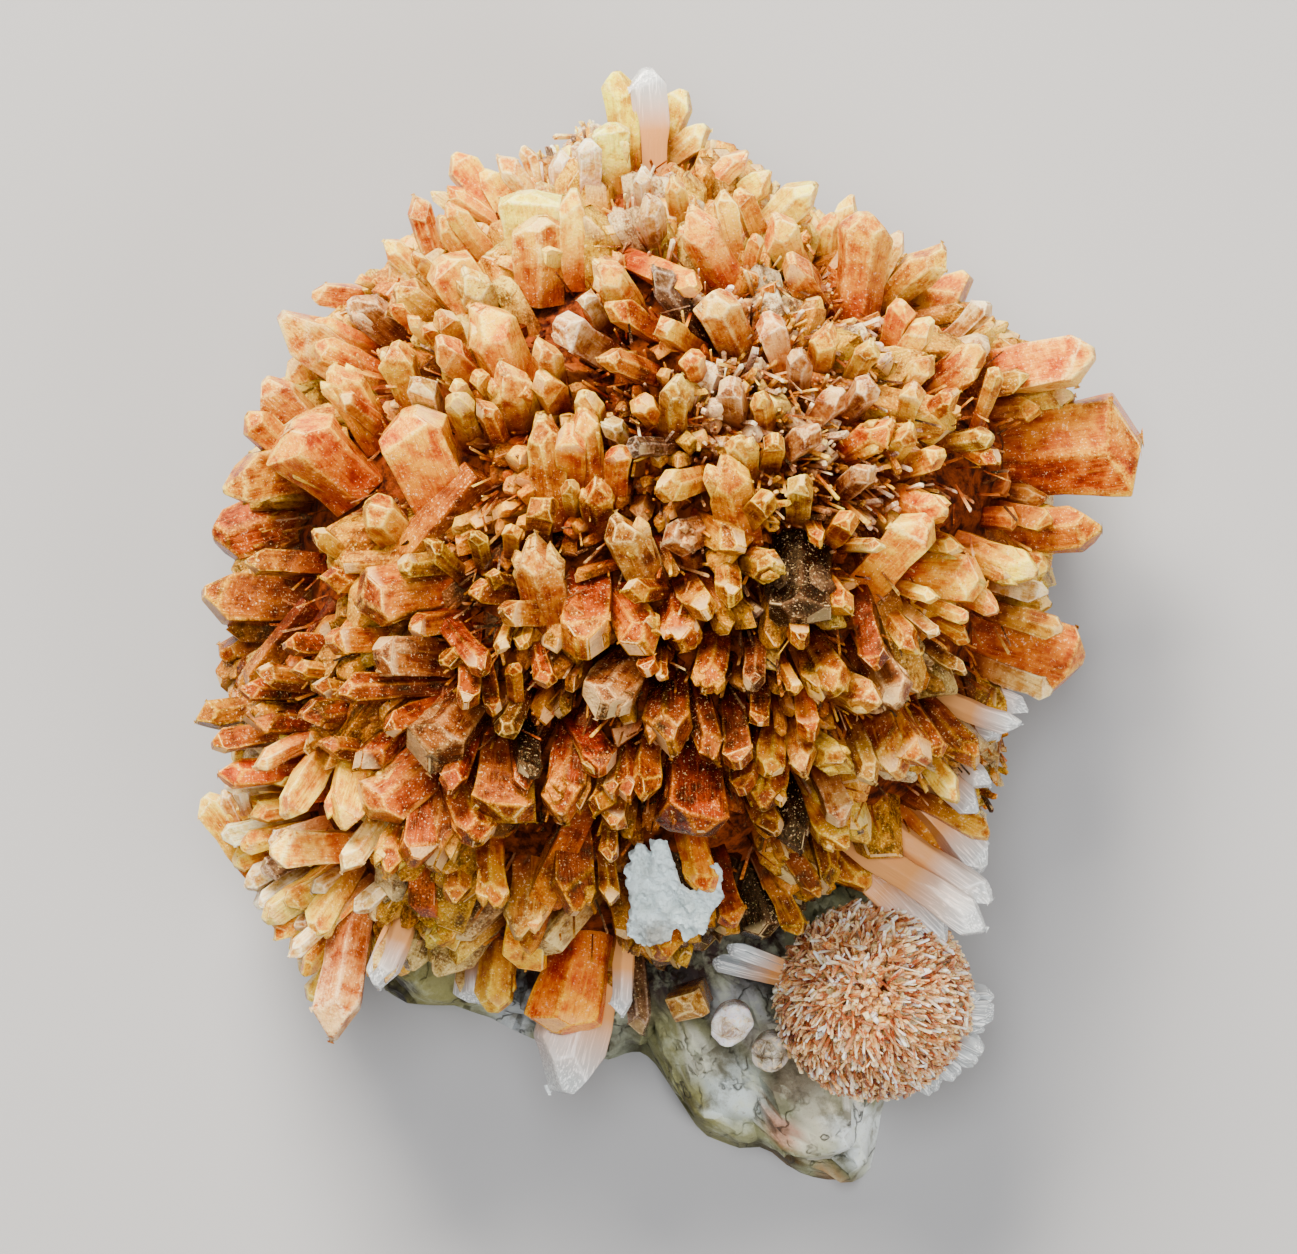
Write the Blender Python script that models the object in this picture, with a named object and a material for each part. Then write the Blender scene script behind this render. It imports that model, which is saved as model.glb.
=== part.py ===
"""A creedite cluster, laid on the flat underside of its matrix, crystals up.

X runs to the right of the photograph, Y up it and Z towards the viewer. The origin is the
middle of the resting face. Crystals are placed by the pixels where they show, and their depth
comes from the domed front that their tips make and from the one place they all grew from.
"""

import math
import random

import bmesh
import bpy
from mathutils import Matrix, Vector, noise

MM = 0.001

# How the photograph maps to sizes
PIXELS_PER_METRE = 12000.0
PICTURE_CENTRE = (648.5, 627.0)
EYE_HEIGHT = 600 * MM
READ_HEIGHT = 22 * MM

# Main cluster: its crystals' tips make a dome, and their roots a smaller one inside it
DOME_CENTRE = (660.0, 560.0)
NUCLEUS = (680.0, 440.0)
NUCLEUS_HEIGHT = 10 * MM
WIDEST_HEIGHT = 14 * MM
TIP_RISE = 30 * MM
# Pixels from the dome's centre to its outline, every 22.5 degrees from the right, turning up
TIP_REACH = (415, 455, 415, 405, 470, 430, 432, 445, 447, 488, 535, 500, 450, 400, 430, 405)
ROOT_INSET = 62.0
ROOT_RISE = 25 * MM
CORE_FOOT = 8.3 * MM
CORE_UNDERCUT = 0.78
# How fast the core turns in below its widest height, and how full its foot is
CORE_TURN = 1.5
CORE_FULLNESS = 0.6
CORE_SEGMENTS = 22
CORE_RINGS = 12
# A point this far out in the core still counts as inside it
CORE_INSIDE = 0.97
GAP = 0.3 * MM
MERGE = 0.001 * MM

# How one crystal is cut
ROOT_TAPER = 0.82
THINNEST = 0.60
THICKEST = 0.85
SMALLEST_SIX_SIDED = 48
SMALLEST_TWO_BEVELS = 2.7 * MM
SMALLEST_THREE_BEVELS = 4.0 * MM
SINK = 2.0 * MM
MARCH_STEP = 0.5 * MM
LONGEST = 19 * MM
# A crystal falls at least this share of its shown length from tip to root
LEAST_DROP = 0.3
TIP_JITTER = 1.0 * MM
# Tips this far out may stand anywhere in a belt of heights, because the dome is steep there
BELT_SHARE = 0.93
BELT = (12 * MM, 25 * MM)

# Crystals round the hidden flank. Each ring: how many, tip heights, and pixels inside the outline
FLANK_RINGS = (
    (22, (5.5 * MM, 10.0 * MM), (30.0, 60.0)),
)
FLANK_WIDTHS = (44.0, 64.0)
FLANK_LENGTH_SHARE = 0.36
# Degrees, turning up from the right, where the matrix stands out in the flank's place
LEDGE_FROM = 226.0
LEDGE_TO = 318.0

# Crystals that cover the dome where the photographed ones leave it bare, a little below them
FILL_TRIES = 300
FILL_BELOW = 2.0 * MM
FILL_REACH = 0.96
FILL_LEDGE_LEVEL = 0.22
FILL_SPACE = 4.5 * MM
FILL_WIDTHS = (62.0, 84.0)
FILL_FREE_OF_FLAKE = 72.0
FILL_FREE_OF_BALL = 3.0 * MM
GOLDEN_ANGLE = math.pi * (3 - math.sqrt(5))

# Side cluster: a small ball of blades
BALL_CENTRE = (874.0, 1000.0)
BALL_HEIGHT = 14.6 * MM
BALL_CORE = 6.6 * MM
BALL_REACH = 8.7 * MM
BALL_BLADES = 38
BALL_BLADE_WIDTHS = (2.2 * MM, 3.2 * MM)
BALL_BLADE_THICKNESS = 0.6
BALL_BLADE_SHORTEST = 0.88
# Share of the reach of a blade where it starts
BALL_BLADE_ROOT = 0.4
# No blade aims lower than this, and the ball sits in the matrix by its core alone from the next
BALL_LOWEST_AIM = -0.22
BALL_SEAT_FROM = -0.42
BALL_SEAT_ALL = -0.56
SEAT_SEGMENTS = 26
SEAT_RINGS = 14
# The longer clear blades at its right and left: tip across, tip down, width
BALL_RIGHT_BLADES = (
    (993, 1018, 30), (983, 1052, 30), (958, 1076, 26), (938, 1090, 24), (948, 972, 22),
)
BALL_LEFT_BLADES = ((713, 960, 24), (727, 946, 22))

# Matrix: degrees from the right, turning up, and pixels from its own centre
MATRIX_CENTRE = (640.0, 700.0)
MATRIX_OUTLINE = (
    (0, 325), (45, 335), (90, 365), (135, 335), (180, 315), (215, 350), (228.7, 386), (232.6, 382),
    (238.8, 357), (244.8, 351), (252, 355), (265.2, 361), (268.2, 352), (270.6, 352), (272.8, 367),
    (275.7, 402), (278.1, 438), (282.5, 459), (285.7, 464), (288.1, 495), (293.3, 530), (296, 524),
    (300.3, 478), (311, 392), (333.4, 335),
)
MATRIX_TOP = 10.4 * MM
MATRIX_SEGMENTS = 44
MATRIX_RINGS = 6
MATRIX_SQUARENESS = 0.42
MATRIX_FULLNESS = 0.8
MATRIX_LUMP_SIZE = 9 * MM
MATRIX_LUMP_HEIGHT = 1.3 * MM
# Lumps start this far over the resting face, which stays flat
MATRIX_FLAT_UP_TO = 0.5 * MM

# White flake: its ragged outline, clockwise, and where it lies
FLAKE_OUTLINE = (
    (622, 860), (628, 846), (637, 841), (645, 847), (651, 852), (648, 838), (656, 831), (665, 834),
    (676, 864), (688, 884), (700, 892), (707, 884), (712, 863), (722, 866), (727, 875), (724, 881),
    (732, 898), (720, 910), (709, 932), (699, 939), (685, 945), (678, 931), (668, 942), (640, 950),
    (622, 938), (626, 905), (622, 880),
)
FLAKE_MIDDLE = (676.0, 890.0)
FLAKE_HEIGHT = 31.5 * MM
FLAKE_TILT = math.radians(34)
FLAKE_THICKNESS = 0.9 * MM

# Grains that stand on the matrix by themselves: place, width, height, sides, thickness share
GRAINS = {
    "honey_crystal": ((692.0, 993.0), 3.4 * MM, 6.5 * MM, 4, 0.75),
    "milky_lump": ((732.0, 1014.0), 4.3 * MM, 4.4 * MM, 7, 0.9),
    "grey_lump": ((772.0, 1042.0), 3.5 * MM, 4.6 * MM, 6, 0.95),
}
GRAIN_FOOT = 10.0 * MM

AMBER = (0.78, 0.36, 0.05, 1)
PEACH = (0.80, 0.47, 0.28, 1)
STONE = (0.48, 0.50, 0.42, 1)
CHALK = (0.86, 0.88, 0.86, 1)
HONEY = (0.62, 0.36, 0.08, 1)
MILK = (0.74, 0.74, 0.80, 1)
SMOKE = (0.42, 0.40, 0.36, 1)

# Crystals that show. Tip across and down, root across and down, width, all in pixels, and the
# height of the tip in mm where it does not follow the dome
# Top edge, and the pale block at its left
CROWN = (
    (620, 71, 628, 150, 36), (648, 69, 650, 160, 38), (682, 89, 668, 130, 30),
    (708, 128, 680, 150, 30), (746, 150, 705, 190, 28), (815, 182, 780, 215, 36),
    (612, 124, 612, 195, 40), (692, 212, 722, 275, 45), (700, 288, 635, 258, 28),
    (775, 220, 795, 262, 36), (600, 265, 628, 305, 36), (790, 262, 808, 285, 30),
    (868, 212, 858, 305, 52), (942, 247, 890, 300, 36), (966, 272, 915, 325, 46),
    (452, 155, 495, 207, 30), (484, 170, 510, 212, 30), (436, 218, 468, 255, 28),
    (530, 190, 545, 300, 66), (537, 215, 540, 332, 58), (572, 190, 575, 290, 28),
    (445, 258, 478, 310, 50), (468, 275, 485, 312, 34), (390, 262, 420, 290, 34),
    (398, 284, 430, 310, 28),
)
# Left side, from the shoulder down to the middle
LEFT = (
    (352, 298, 385, 325, 36), (280, 318, 322, 350, 50), (314, 346, 382, 375, 30),
    (292, 358, 318, 396, 34), (332, 368, 378, 440, 40), (262, 382, 285, 405, 40),
    (246, 415, 275, 440, 34), (290, 425, 362, 498, 78), (222, 485, 288, 470, 50),
    (214, 542, 295, 520, 62), (365, 505, 400, 540, 42), (393, 345, 412, 400, 34),
    (408, 412, 440, 500, 66), (540, 420, 552, 500, 38), (580, 412, 590, 475, 34),
    (570, 430, 572, 480, 30), (588, 393, 592, 425, 28), (482, 310, 508, 370, 52),
    (440, 343, 472, 378, 28), (420, 378, 428, 410, 28), (458, 395, 468, 430, 28),
    (508, 375, 515, 408, 46), (545, 378, 555, 402, 30), (545, 345, 552, 380, 28),
    (562, 325, 600, 350, 34), (595, 487, 598, 520, 34), (545, 505, 535, 530, 28),
)
# Middle, where the crystals point forwards
CENTRE = (
    (712, 295, 735, 340, 44), (768, 318, 785, 370, 28), (655, 270, 690, 320, 30),
    (678, 382, 672, 432, 30), (660, 490, 705, 475, 30), (722, 465, 738, 520, 48),
    (740, 438, 745, 470, 34), (535, 545, 550, 620, 50), (582, 645, 590, 600, 50),
    (600, 705, 625, 670, 50), (430, 755, 455, 720, 60), (622, 520, 648, 578, 42),
    (645, 640, 625, 612, 46), (680, 645, 678, 612, 42), (705, 612, 690, 588, 30),
    (672, 540, 700, 530, 34), (738, 548, 710, 528, 30), (775, 568, 748, 560, 32),
    (800, 622, 800, 560, 66), (705, 690, 715, 645, 34), (668, 745, 668, 700, 46),
    (715, 760, 700, 705, 30), (738, 765, 735, 705, 28), (828, 330, 820, 365, 28),
)
# Right side, with the thick prism
RIGHT = (
    (985, 350, 928, 395, 42), (888, 425, 850, 450, 34), (872, 385, 850, 408, 28),
    (945, 515, 905, 500, 34), (1095, 355, 1015, 370, 50), (1073, 393, 1000, 405, 34),
    (1140, 440, 990, 460, 98), (926, 522, 875, 575, 44), (980, 578, 925, 575, 46),
    (1036, 577, 958, 548, 42), (900, 705, 870, 655, 44), (835, 695, 815, 655, 46),
    (878, 705, 845, 690, 34), (1000, 735, 920, 715, 36), (1102, 528, 1010, 530, 50),
    (1082, 668, 985, 640, 80),
)
# Lower left, with the pale outer wing
LOWER_LEFT = (
    (203, 595, 325, 605, 52), (219, 650, 300, 650, 34), (196, 718, 262, 705, 28),
    (245, 715, 300, 720, 34), (302, 718, 350, 710, 34), (337, 690, 430, 685, 28),
    (378, 655, 425, 660, 44), (362, 600, 425, 590, 58), (218, 775, 290, 768, 30),
    (203, 797, 270, 890, 28, 15), (246, 838, 288, 846, 28, 15), (270, 848, 305, 848, 36),
    (285, 815, 308, 780, 30), (338, 828, 352, 778, 38), (312, 935, 330, 905, 32),
    (328, 1037, 352, 930, 48), (375, 985, 395, 940, 32), (385, 872, 398, 842, 34),
    (370, 812, 420, 775, 62), (436, 868, 445, 800, 46), (415, 862, 425, 800, 36),
    (478, 845, 465, 800, 44), (360, 770, 385, 745, 30),
)
# Below the middle, down to the long flat prism
LOWER_MIDDLE = (
    (503, 822, 508, 765, 64), (563, 816, 575, 745, 48), (605, 770, 590, 745, 34),
    (455, 904, 458, 858, 30), (493, 908, 490, 845, 32), (522, 940, 530, 850, 42),
    (578, 912, 570, 840, 42), (472, 1003, 478, 912, 44), (492, 1013, 500, 930, 40),
    (560, 1034, 590, 905, 72), (555, 1090, 576, 1020, 76), (690, 832, 690, 765, 64),
    (703, 892, 690, 828, 34), (770, 937, 735, 835, 52), (765, 810, 768, 780, 40),
    (742, 790, 745, 765, 28), (768, 775, 772, 748, 30), (665, 958, 665, 935, 32),
)
# Lower right, with the clear fan
LOWER_RIGHT = (
    (842, 822, 826, 778, 28), (845, 765, 815, 748, 34), (805, 772, 800, 742, 30),
    (897, 772, 888, 742, 40), (920, 762, 908, 742, 34), (975, 760, 950, 735, 36),
    (978, 812, 950, 785, 30), (962, 895, 890, 810, 70), (985, 868, 935, 812, 34),
    (990, 903, 930, 862, 34), (984, 928, 920, 885, 36), (945, 944, 905, 905, 40),
    (866, 890, 815, 830, 38), (845, 850, 820, 815, 34), (800, 850, 785, 797, 34),
    (775, 835, 760, 808, 28),
)
SHOWN = CROWN + LEFT + CENTRE + RIGHT + LOWER_LEFT + LOWER_MIDDLE + LOWER_RIGHT


def clear_scene():
    for thing in list(bpy.data.objects):
        bpy.data.objects.remove(thing, do_unlink=True)


def collection(name, hidden=False):
    made = bpy.data.collections.new(name)
    made.hide_render = hidden
    bpy.context.scene.collection.children.link(made)
    return made


def material(name, colour, roughness):
    made = bpy.data.materials.new(name)
    made.use_nodes = True
    shader = made.node_tree.nodes["Principled BSDF"]
    shader.inputs["Base Color"].default_value = colour
    shader.inputs["Roughness"].default_value = roughness
    shader.inputs["Metallic"].default_value = 0.0
    return made


def add(shape, name, group, finish=None):
    """Makes the bmesh an object of this collection. One with no finish only cuts or joins."""
    mesh = bpy.data.meshes.new(name)
    bmesh.ops.recalc_face_normals(shape, faces=shape.faces)
    shape.to_mesh(mesh)
    shape.free()
    made = bpy.data.objects.new(name, mesh)
    group.objects.link(made)
    if finish:
        mesh.materials.append(finish)
    else:
        made.hide_render = True
        made.display_type = "WIRE"
    return made


def boolean(target, operation, name, other=None, group=None):
    made = target.modifiers.new(name, "BOOLEAN")
    made.operation = operation
    made.solver = "EXACT"
    if group:
        made.operand_type = "COLLECTION"
        made.collection = group
    else:
        made.object = other


def place(across, down, height):
    """The point at this height that shows at this pixel."""
    spread = (EYE_HEIGHT - height) / (EYE_HEIGHT - READ_HEIGHT) / PIXELS_PER_METRE
    return Vector(((across - PICTURE_CENTRE[0]) * spread, (PICTURE_CENTRE[1] - down) * spread, height))


def pixel(point):
    """The pixel where a point shows."""
    spread = (EYE_HEIGHT - point.z) / (EYE_HEIGHT - READ_HEIGHT) / PIXELS_PER_METRE
    return PICTURE_CENTRE[0] + point.x / spread, PICTURE_CENTRE[1] - point.y / spread


def eased(values, position):
    """A closed row of values read smoothly between its entries."""
    first = math.floor(position)
    part = position - first
    before, start, end, after = (values[(first + step) % len(values)] for step in (-1, 0, 1, 2))
    pull = (end - before) / 2
    leave = (after - start) / 2
    return (
        start
        + pull * part
        + (3 * (end - start) - 2 * pull - leave) * part ** 2
        + (2 * (start - end) + pull + leave) * part ** 3
    )


def tip_reach(angle):
    """Pixels from the dome's centre to the outline of its tips."""
    return eased(TIP_REACH, angle / math.tau * len(TIP_REACH))


def dome_share(across, down, inset):
    """How far out this pixel is on the dome: 0 at its centre, 1 at its outline less the inset."""
    right = across - DOME_CENTRE[0]
    up = DOME_CENTRE[1] - down
    return math.hypot(right, up) / (tip_reach(math.atan2(up, right)) - inset)


def dome_height(across, down, inset, rise):
    share = min(dome_share(across, down, inset), 1.0)
    return WIDEST_HEIGHT + rise * math.sqrt(1 - share ** 2)


def inside_core(point):
    across, down = pixel(point)
    if dome_share(across, down, ROOT_INSET) > CORE_INSIDE:
        return False
    return CORE_FOOT < point.z < dome_height(across, down, ROOT_INSET, ROOT_RISE)


def core_shape(grow):
    """The body that the crystals' roots make together, this much larger all round."""
    shape = bmesh.new()
    bmesh.ops.create_uvsphere(shape, u_segments=CORE_SEGMENTS, v_segments=CORE_RINGS, radius=1)
    for vert in shape.verts:
        out = math.hypot(vert.co.x, vert.co.y)
        angle = math.atan2(vert.co.y, vert.co.x)
        if vert.co.z >= 0:
            height = WIDEST_HEIGHT + (ROOT_RISE + grow) * vert.co.z
            share = out
        else:
            lower = min(-vert.co.z * CORE_TURN, 1)
            height = WIDEST_HEIGHT - (WIDEST_HEIGHT - CORE_FOOT + grow) * lower
            share = out ** CORE_FULLNESS * (1 - (1 - CORE_UNDERCUT) * lower)
        reach = (tip_reach(angle) - ROOT_INSET + grow * PIXELS_PER_METRE) * share
        across = DOME_CENTRE[0] + reach * math.cos(angle)
        down = DOME_CENTRE[1] - reach * math.sin(angle)
        vert.co = place(across, down, height)
    return shape


def prism(root, tip, width, thickness, sides, turn, bevels, grow=0.0):
    """A crystal that widens to its tip, where slanted planes cut it. Its width faces the viewer."""
    axis = (tip - root).normalized()
    across = axis.cross(Vector((0, 0, 1)))
    if across.length < 0.1:
        across = axis.cross(Vector((0, 1, 0)))
    across = Matrix.Rotation(turn, 3, axis) @ across.normalized()
    upward = axis.cross(across)
    length = (tip - root).length + grow
    reach = width / 2 / (math.cos(math.pi / 4) if sides == 4 else 1)
    shape = bmesh.new()
    bmesh.ops.create_cone(
        shape, cap_ends=True, segments=sides, radius1=reach * ROOT_TAPER, radius2=reach, depth=length
    )
    start = math.pi / 4 if sides == 4 else 0
    bmesh.ops.rotate(shape, verts=shape.verts, cent=(0, 0, 0), matrix=Matrix.Rotation(start, 3, "Z"))
    bmesh.ops.translate(shape, verts=shape.verts, vec=(0, 0, length / 2))
    bmesh.ops.scale(shape, verts=shape.verts, vec=(1, thickness, 1))
    if grow:
        wider = 2 * grow / width
        bmesh.ops.scale(shape, verts=shape.verts, vec=(1 + wider, 1 + wider / thickness, 1))
    for slant, turned, near in bevels:
        outward = Vector((math.cos(turned), math.sin(turned), 0))
        normal = outward * math.sin(slant) + Vector((0, 0, math.cos(slant)))
        point = Vector((outward.x, outward.y * thickness, 0)) * width * near + Vector((0, 0, length))
        geometry = shape.verts[:] + shape.edges[:] + shape.faces[:]
        cut = bmesh.ops.bisect_plane(
            shape, geom=geometry, plane_co=point, plane_no=normal, clear_outer=True, dist=MERGE / 10
        )
        rim = [item for item in cut["geom_cut"] if isinstance(item, bmesh.types.BMEdge)]
        if rim:
            bmesh.ops.edgenet_fill(shape, edges=rim)
    turned = Matrix((across, upward, axis)).transposed().to_4x4()
    bmesh.ops.transform(shape, verts=shape.verts, matrix=Matrix.Translation(root) @ turned)
    return shape


def tip_bevels(draw):
    """The slants that end a crystal: one large, one on each narrow edge."""
    side = draw.choice((0, math.pi))
    large = (math.radians(draw.uniform(38, 58)), side, draw.uniform(-0.05, 0.15))
    small = (math.radians(draw.uniform(45, 64)), side + math.pi, draw.uniform(0.05, 0.25))
    slant = math.radians(draw.uniform(40, 62))
    front = (slant, -math.pi / 2 + draw.uniform(-0.4, 0.4), draw.uniform(0.05, 0.28))
    return large, small, front


def bevel_count(width):
    return 1 + (width >= SMALLEST_TWO_BEVELS) + (width >= SMALLEST_THREE_BEVELS)


def root_of(tip, aim, shown_length):
    """Follows the crystal back from its tip until it is well inside the core, if it meets it."""
    depth = MARCH_STEP
    while depth < LONGEST and not inside_core(tip - aim * depth):
        depth += MARCH_STEP
    return tip - aim * (depth + SINK if depth < LONGEST else shown_length)


def leaning(tip, outward, shown_length, core_height):
    """The way a crystal points: its drawn root meets the core, or it leans as its place does."""
    from_nucleus = tip - place(*NUCLEUS, NUCLEUS_HEIGHT)
    by_place = math.atan2(from_nucleus.to_2d().length, from_nucleus.z)
    drop = max(tip.z - core_height, shown_length * LEAST_DROP)
    lean = max(by_place, math.atan2(shown_length, drop))
    return outward * math.sin(lean) + Vector((0, 0, math.cos(lean)))


def shown_crystals():
    """Root, tip, width, sides and own random draws of each crystal read from the photograph."""
    for tip_across, tip_down, root_across, root_down, width, *fixed in SHOWN:
        draw = random.Random(tip_across * 10000 + tip_down)
        height = dome_height(tip_across, tip_down, 0, TIP_RISE) + draw.uniform(-1, 1) * TIP_JITTER
        if dome_share(tip_across, tip_down, 0) > BELT_SHARE:
            height = draw.uniform(*BELT)
        if fixed:
            height = fixed[0] * MM
        tip = place(tip_across, tip_down, height)
        flat = Vector((tip_across - root_across, root_down - tip_down, 0))
        shown_length = flat.length / PIXELS_PER_METRE
        core_height = dome_height(root_across, root_down, ROOT_INSET, ROOT_RISE)
        aim = leaning(tip, flat.normalized(), shown_length, core_height)
        sides = 6 if width >= SMALLEST_SIX_SIDED else 4
        yield root_of(tip, aim, shown_length), tip, width / PIXELS_PER_METRE, sides, draw


def over_ledge(angle):
    return LEDGE_FROM < math.degrees(angle) % 360 < LEDGE_TO


def flank_crystals(draw):
    """The crystals that finish the side which the photograph doesn't show."""
    nucleus = place(*NUCLEUS, NUCLEUS_HEIGHT)
    for count, heights, insets in FLANK_RINGS:
        for index in range(count):
            angle = math.tau * (index + draw.uniform(-0.3, 0.3)) / count
            reach = tip_reach(angle) - draw.uniform(*insets)
            height = draw.uniform(*heights)
            width = draw.uniform(*FLANK_WIDTHS) / PIXELS_PER_METRE
            if height < WIDEST_HEIGHT and over_ledge(angle):
                continue
            across = DOME_CENTRE[0] + reach * math.cos(angle)
            tip = place(across, DOME_CENTRE[1] - reach * math.sin(angle), height)
            root = tip.lerp(nucleus, FLANK_LENGTH_SHARE)
            root.z = max(root.z, WIDEST_HEIGHT)
            yield root, tip, width, 4, draw


def fill_crystals(draw, taken):
    """Crystals spread evenly over the dome, less those that stand on another one."""
    nucleus = place(*NUCLEUS, NUCLEUS_HEIGHT)
    lines = [(root, tip) for root, tip, *rest in taken]
    for index in range(FILL_TRIES):
        level = 1 - (index + 0.5) / FILL_TRIES
        angle = GOLDEN_ANGLE * index
        reach = tip_reach(angle) * math.sqrt(1 - level ** 2) * FILL_REACH
        across = DOME_CENTRE[0] + reach * math.cos(angle)
        down = DOME_CENTRE[1] - reach * math.sin(angle)
        tip = place(across, down, WIDEST_HEIGHT + TIP_RISE * level - FILL_BELOW)
        if over_ledge(angle) and level < FILL_LEDGE_LEVEL:
            continue
        if math.dist((across, down), FLAKE_MIDDLE) < FILL_FREE_OF_FLAKE:
            continue
        if (tip - ball_middle()).length < BALL_REACH + FILL_FREE_OF_BALL:
            continue
        if any(distance(tip, *line) < FILL_SPACE for line in lines):
            continue
        root = root_of(tip, (tip - nucleus).normalized(), FILL_BELOW)
        lines.append((root, tip))
        yield root, tip, draw.uniform(*FILL_WIDTHS) / PIXELS_PER_METRE, 4, draw


def distance(point, start, end):
    """From a point to the nearest point of a line between two others."""
    along = end - start
    share = (point - start).dot(along) / along.length_squared
    return (point - start - along * min(max(share, 0), 1)).length


def build_main_cluster(group, finish):
    joined = collection("crystals_to_join", hidden=True)
    crystals = [*shown_crystals(), *flank_crystals(random.Random(17))]
    crystals += fill_crystals(random.Random(19), crystals)
    for index, (root, tip, width, sides, draw) in enumerate(crystals):
        thickness = draw.uniform(THINNEST, THICKEST)
        turn = math.radians(draw.uniform(-24, 24))
        bevels = tip_bevels(draw)[:bevel_count(width)]
        add(prism(root, tip, width, thickness, sides, turn, bevels), f"crystal_{index:03d}", joined)
    cluster = add(core_shape(0), "main_cluster", group, finish)
    boolean(cluster, "UNION", "join crystals", group=joined)
    return cluster


def ball_middle():
    return place(*BALL_CENTRE, BALL_HEIGHT)


def ball_blades(draw):
    """Aims spread evenly over the ball, less those that point into the matrix."""
    for index in range(BALL_BLADES):
        level = 1 - 2 * (index + 0.5) / BALL_BLADES
        if level < BALL_LOWEST_AIM:
            continue
        out = math.sqrt(1 - level ** 2)
        turn = GOLDEN_ANGLE * index
        aim = Vector((out * math.cos(turn), out * math.sin(turn), level))
        yield aim, BALL_REACH * draw.uniform(BALL_BLADE_SHORTEST, 1), draw.uniform(*BALL_BLADE_WIDTHS)
    for across, down, width in BALL_RIGHT_BLADES + BALL_LEFT_BLADES:
        reach = place(across, down, BALL_HEIGHT) - ball_middle()
        yield reach.normalized(), reach.length, width / PIXELS_PER_METRE


def left_blade_spaces(cutters):
    """Room for the side cluster's long left blades, 0.3 mm larger all round."""
    for index, (across, down, width) in enumerate(BALL_LEFT_BLADES):
        tip = place(across, down, BALL_HEIGHT)
        shape = prism(ball_middle(), tip, width / PIXELS_PER_METRE, 1, 4, 0, (), GAP)
        yield add(shape, f"space for left blade {index}", cutters)


def build_side_cluster(group, finish):
    draw = random.Random(23)
    joined = collection("blades_to_join", hidden=True)
    middle = ball_middle()
    for index, (aim, reach, width) in enumerate(ball_blades(draw)):
        root = middle + aim * BALL_REACH * BALL_BLADE_ROOT
        bevels = tip_bevels(draw)[:1]
        turn = draw.uniform(0, math.pi)
        blade = prism(root, middle + aim * reach, width, BALL_BLADE_THICKNESS, 4, turn, bevels)
        add(blade, f"blade_{index:02d}", joined)
    shape = bmesh.new()
    bmesh.ops.create_icosphere(shape, subdivisions=2, radius=BALL_CORE)
    bmesh.ops.translate(shape, verts=shape.verts, vec=middle)
    ball = add(shape, "side_cluster", group, finish)
    boolean(ball, "UNION", "join blades", group=joined)
    return ball


def matrix_reach(angle):
    """Pixels from the matrix's centre to its edge, straight between the listed angles."""
    degrees = math.degrees(angle) % 360
    rows = MATRIX_OUTLINE + ((360, MATRIX_OUTLINE[0][1]),)
    for (start, near), (end, far) in zip(rows, rows[1:]):
        if start <= degrees <= end:
            return near + (far - near) * (degrees - start) / (end - start)
    return rows[0][1]


def matrix_shape(grow):
    """A rough slab, flat below, whose sides roll over to a lumpy top, this much larger all round."""
    shape = bmesh.new()
    bmesh.ops.create_uvsphere(shape, u_segments=MATRIX_SEGMENTS, v_segments=MATRIX_RINGS * 2, radius=1)
    low = [vert for vert in shape.verts if vert.co.z < -MERGE]
    bmesh.ops.delete(shape, geom=low, context="VERTS")
    rim = [edge for edge in shape.edges if edge.is_boundary]
    bmesh.ops.edgenet_fill(shape, edges=rim)
    for vert in shape.verts:
        out = math.hypot(vert.co.x, vert.co.y)
        angle = math.atan2(vert.co.y, vert.co.x)
        reach = (matrix_reach(angle) + grow * PIXELS_PER_METRE) * out ** MATRIX_FULLNESS
        height = MATRIX_TOP * max(vert.co.z, 0) ** MATRIX_SQUARENESS
        across = MATRIX_CENTRE[0] + reach * math.cos(angle)
        point = place(across, MATRIX_CENTRE[1] - reach * math.sin(angle), height)
        if height > MATRIX_FLAT_UP_TO:
            point.z += MATRIX_LUMP_HEIGHT * noise.noise(point / MATRIX_LUMP_SIZE) + grow
        vert.co = point
    return shape


def grain_shape(name, grow):
    (across, down), width, height, sides, thickness = GRAINS[name]
    draw = random.Random(len(name))
    foot = place(across, down, GRAIN_FOOT - grow)
    lean = Vector((draw.uniform(-0.12, 0.12), draw.uniform(-0.3, -0.1), 1)).normalized()
    tip = foot + lean * (height + grow)
    return prism(foot, tip, width, thickness, sides, draw.uniform(0, 1), tip_bevels(draw), grow)


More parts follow.
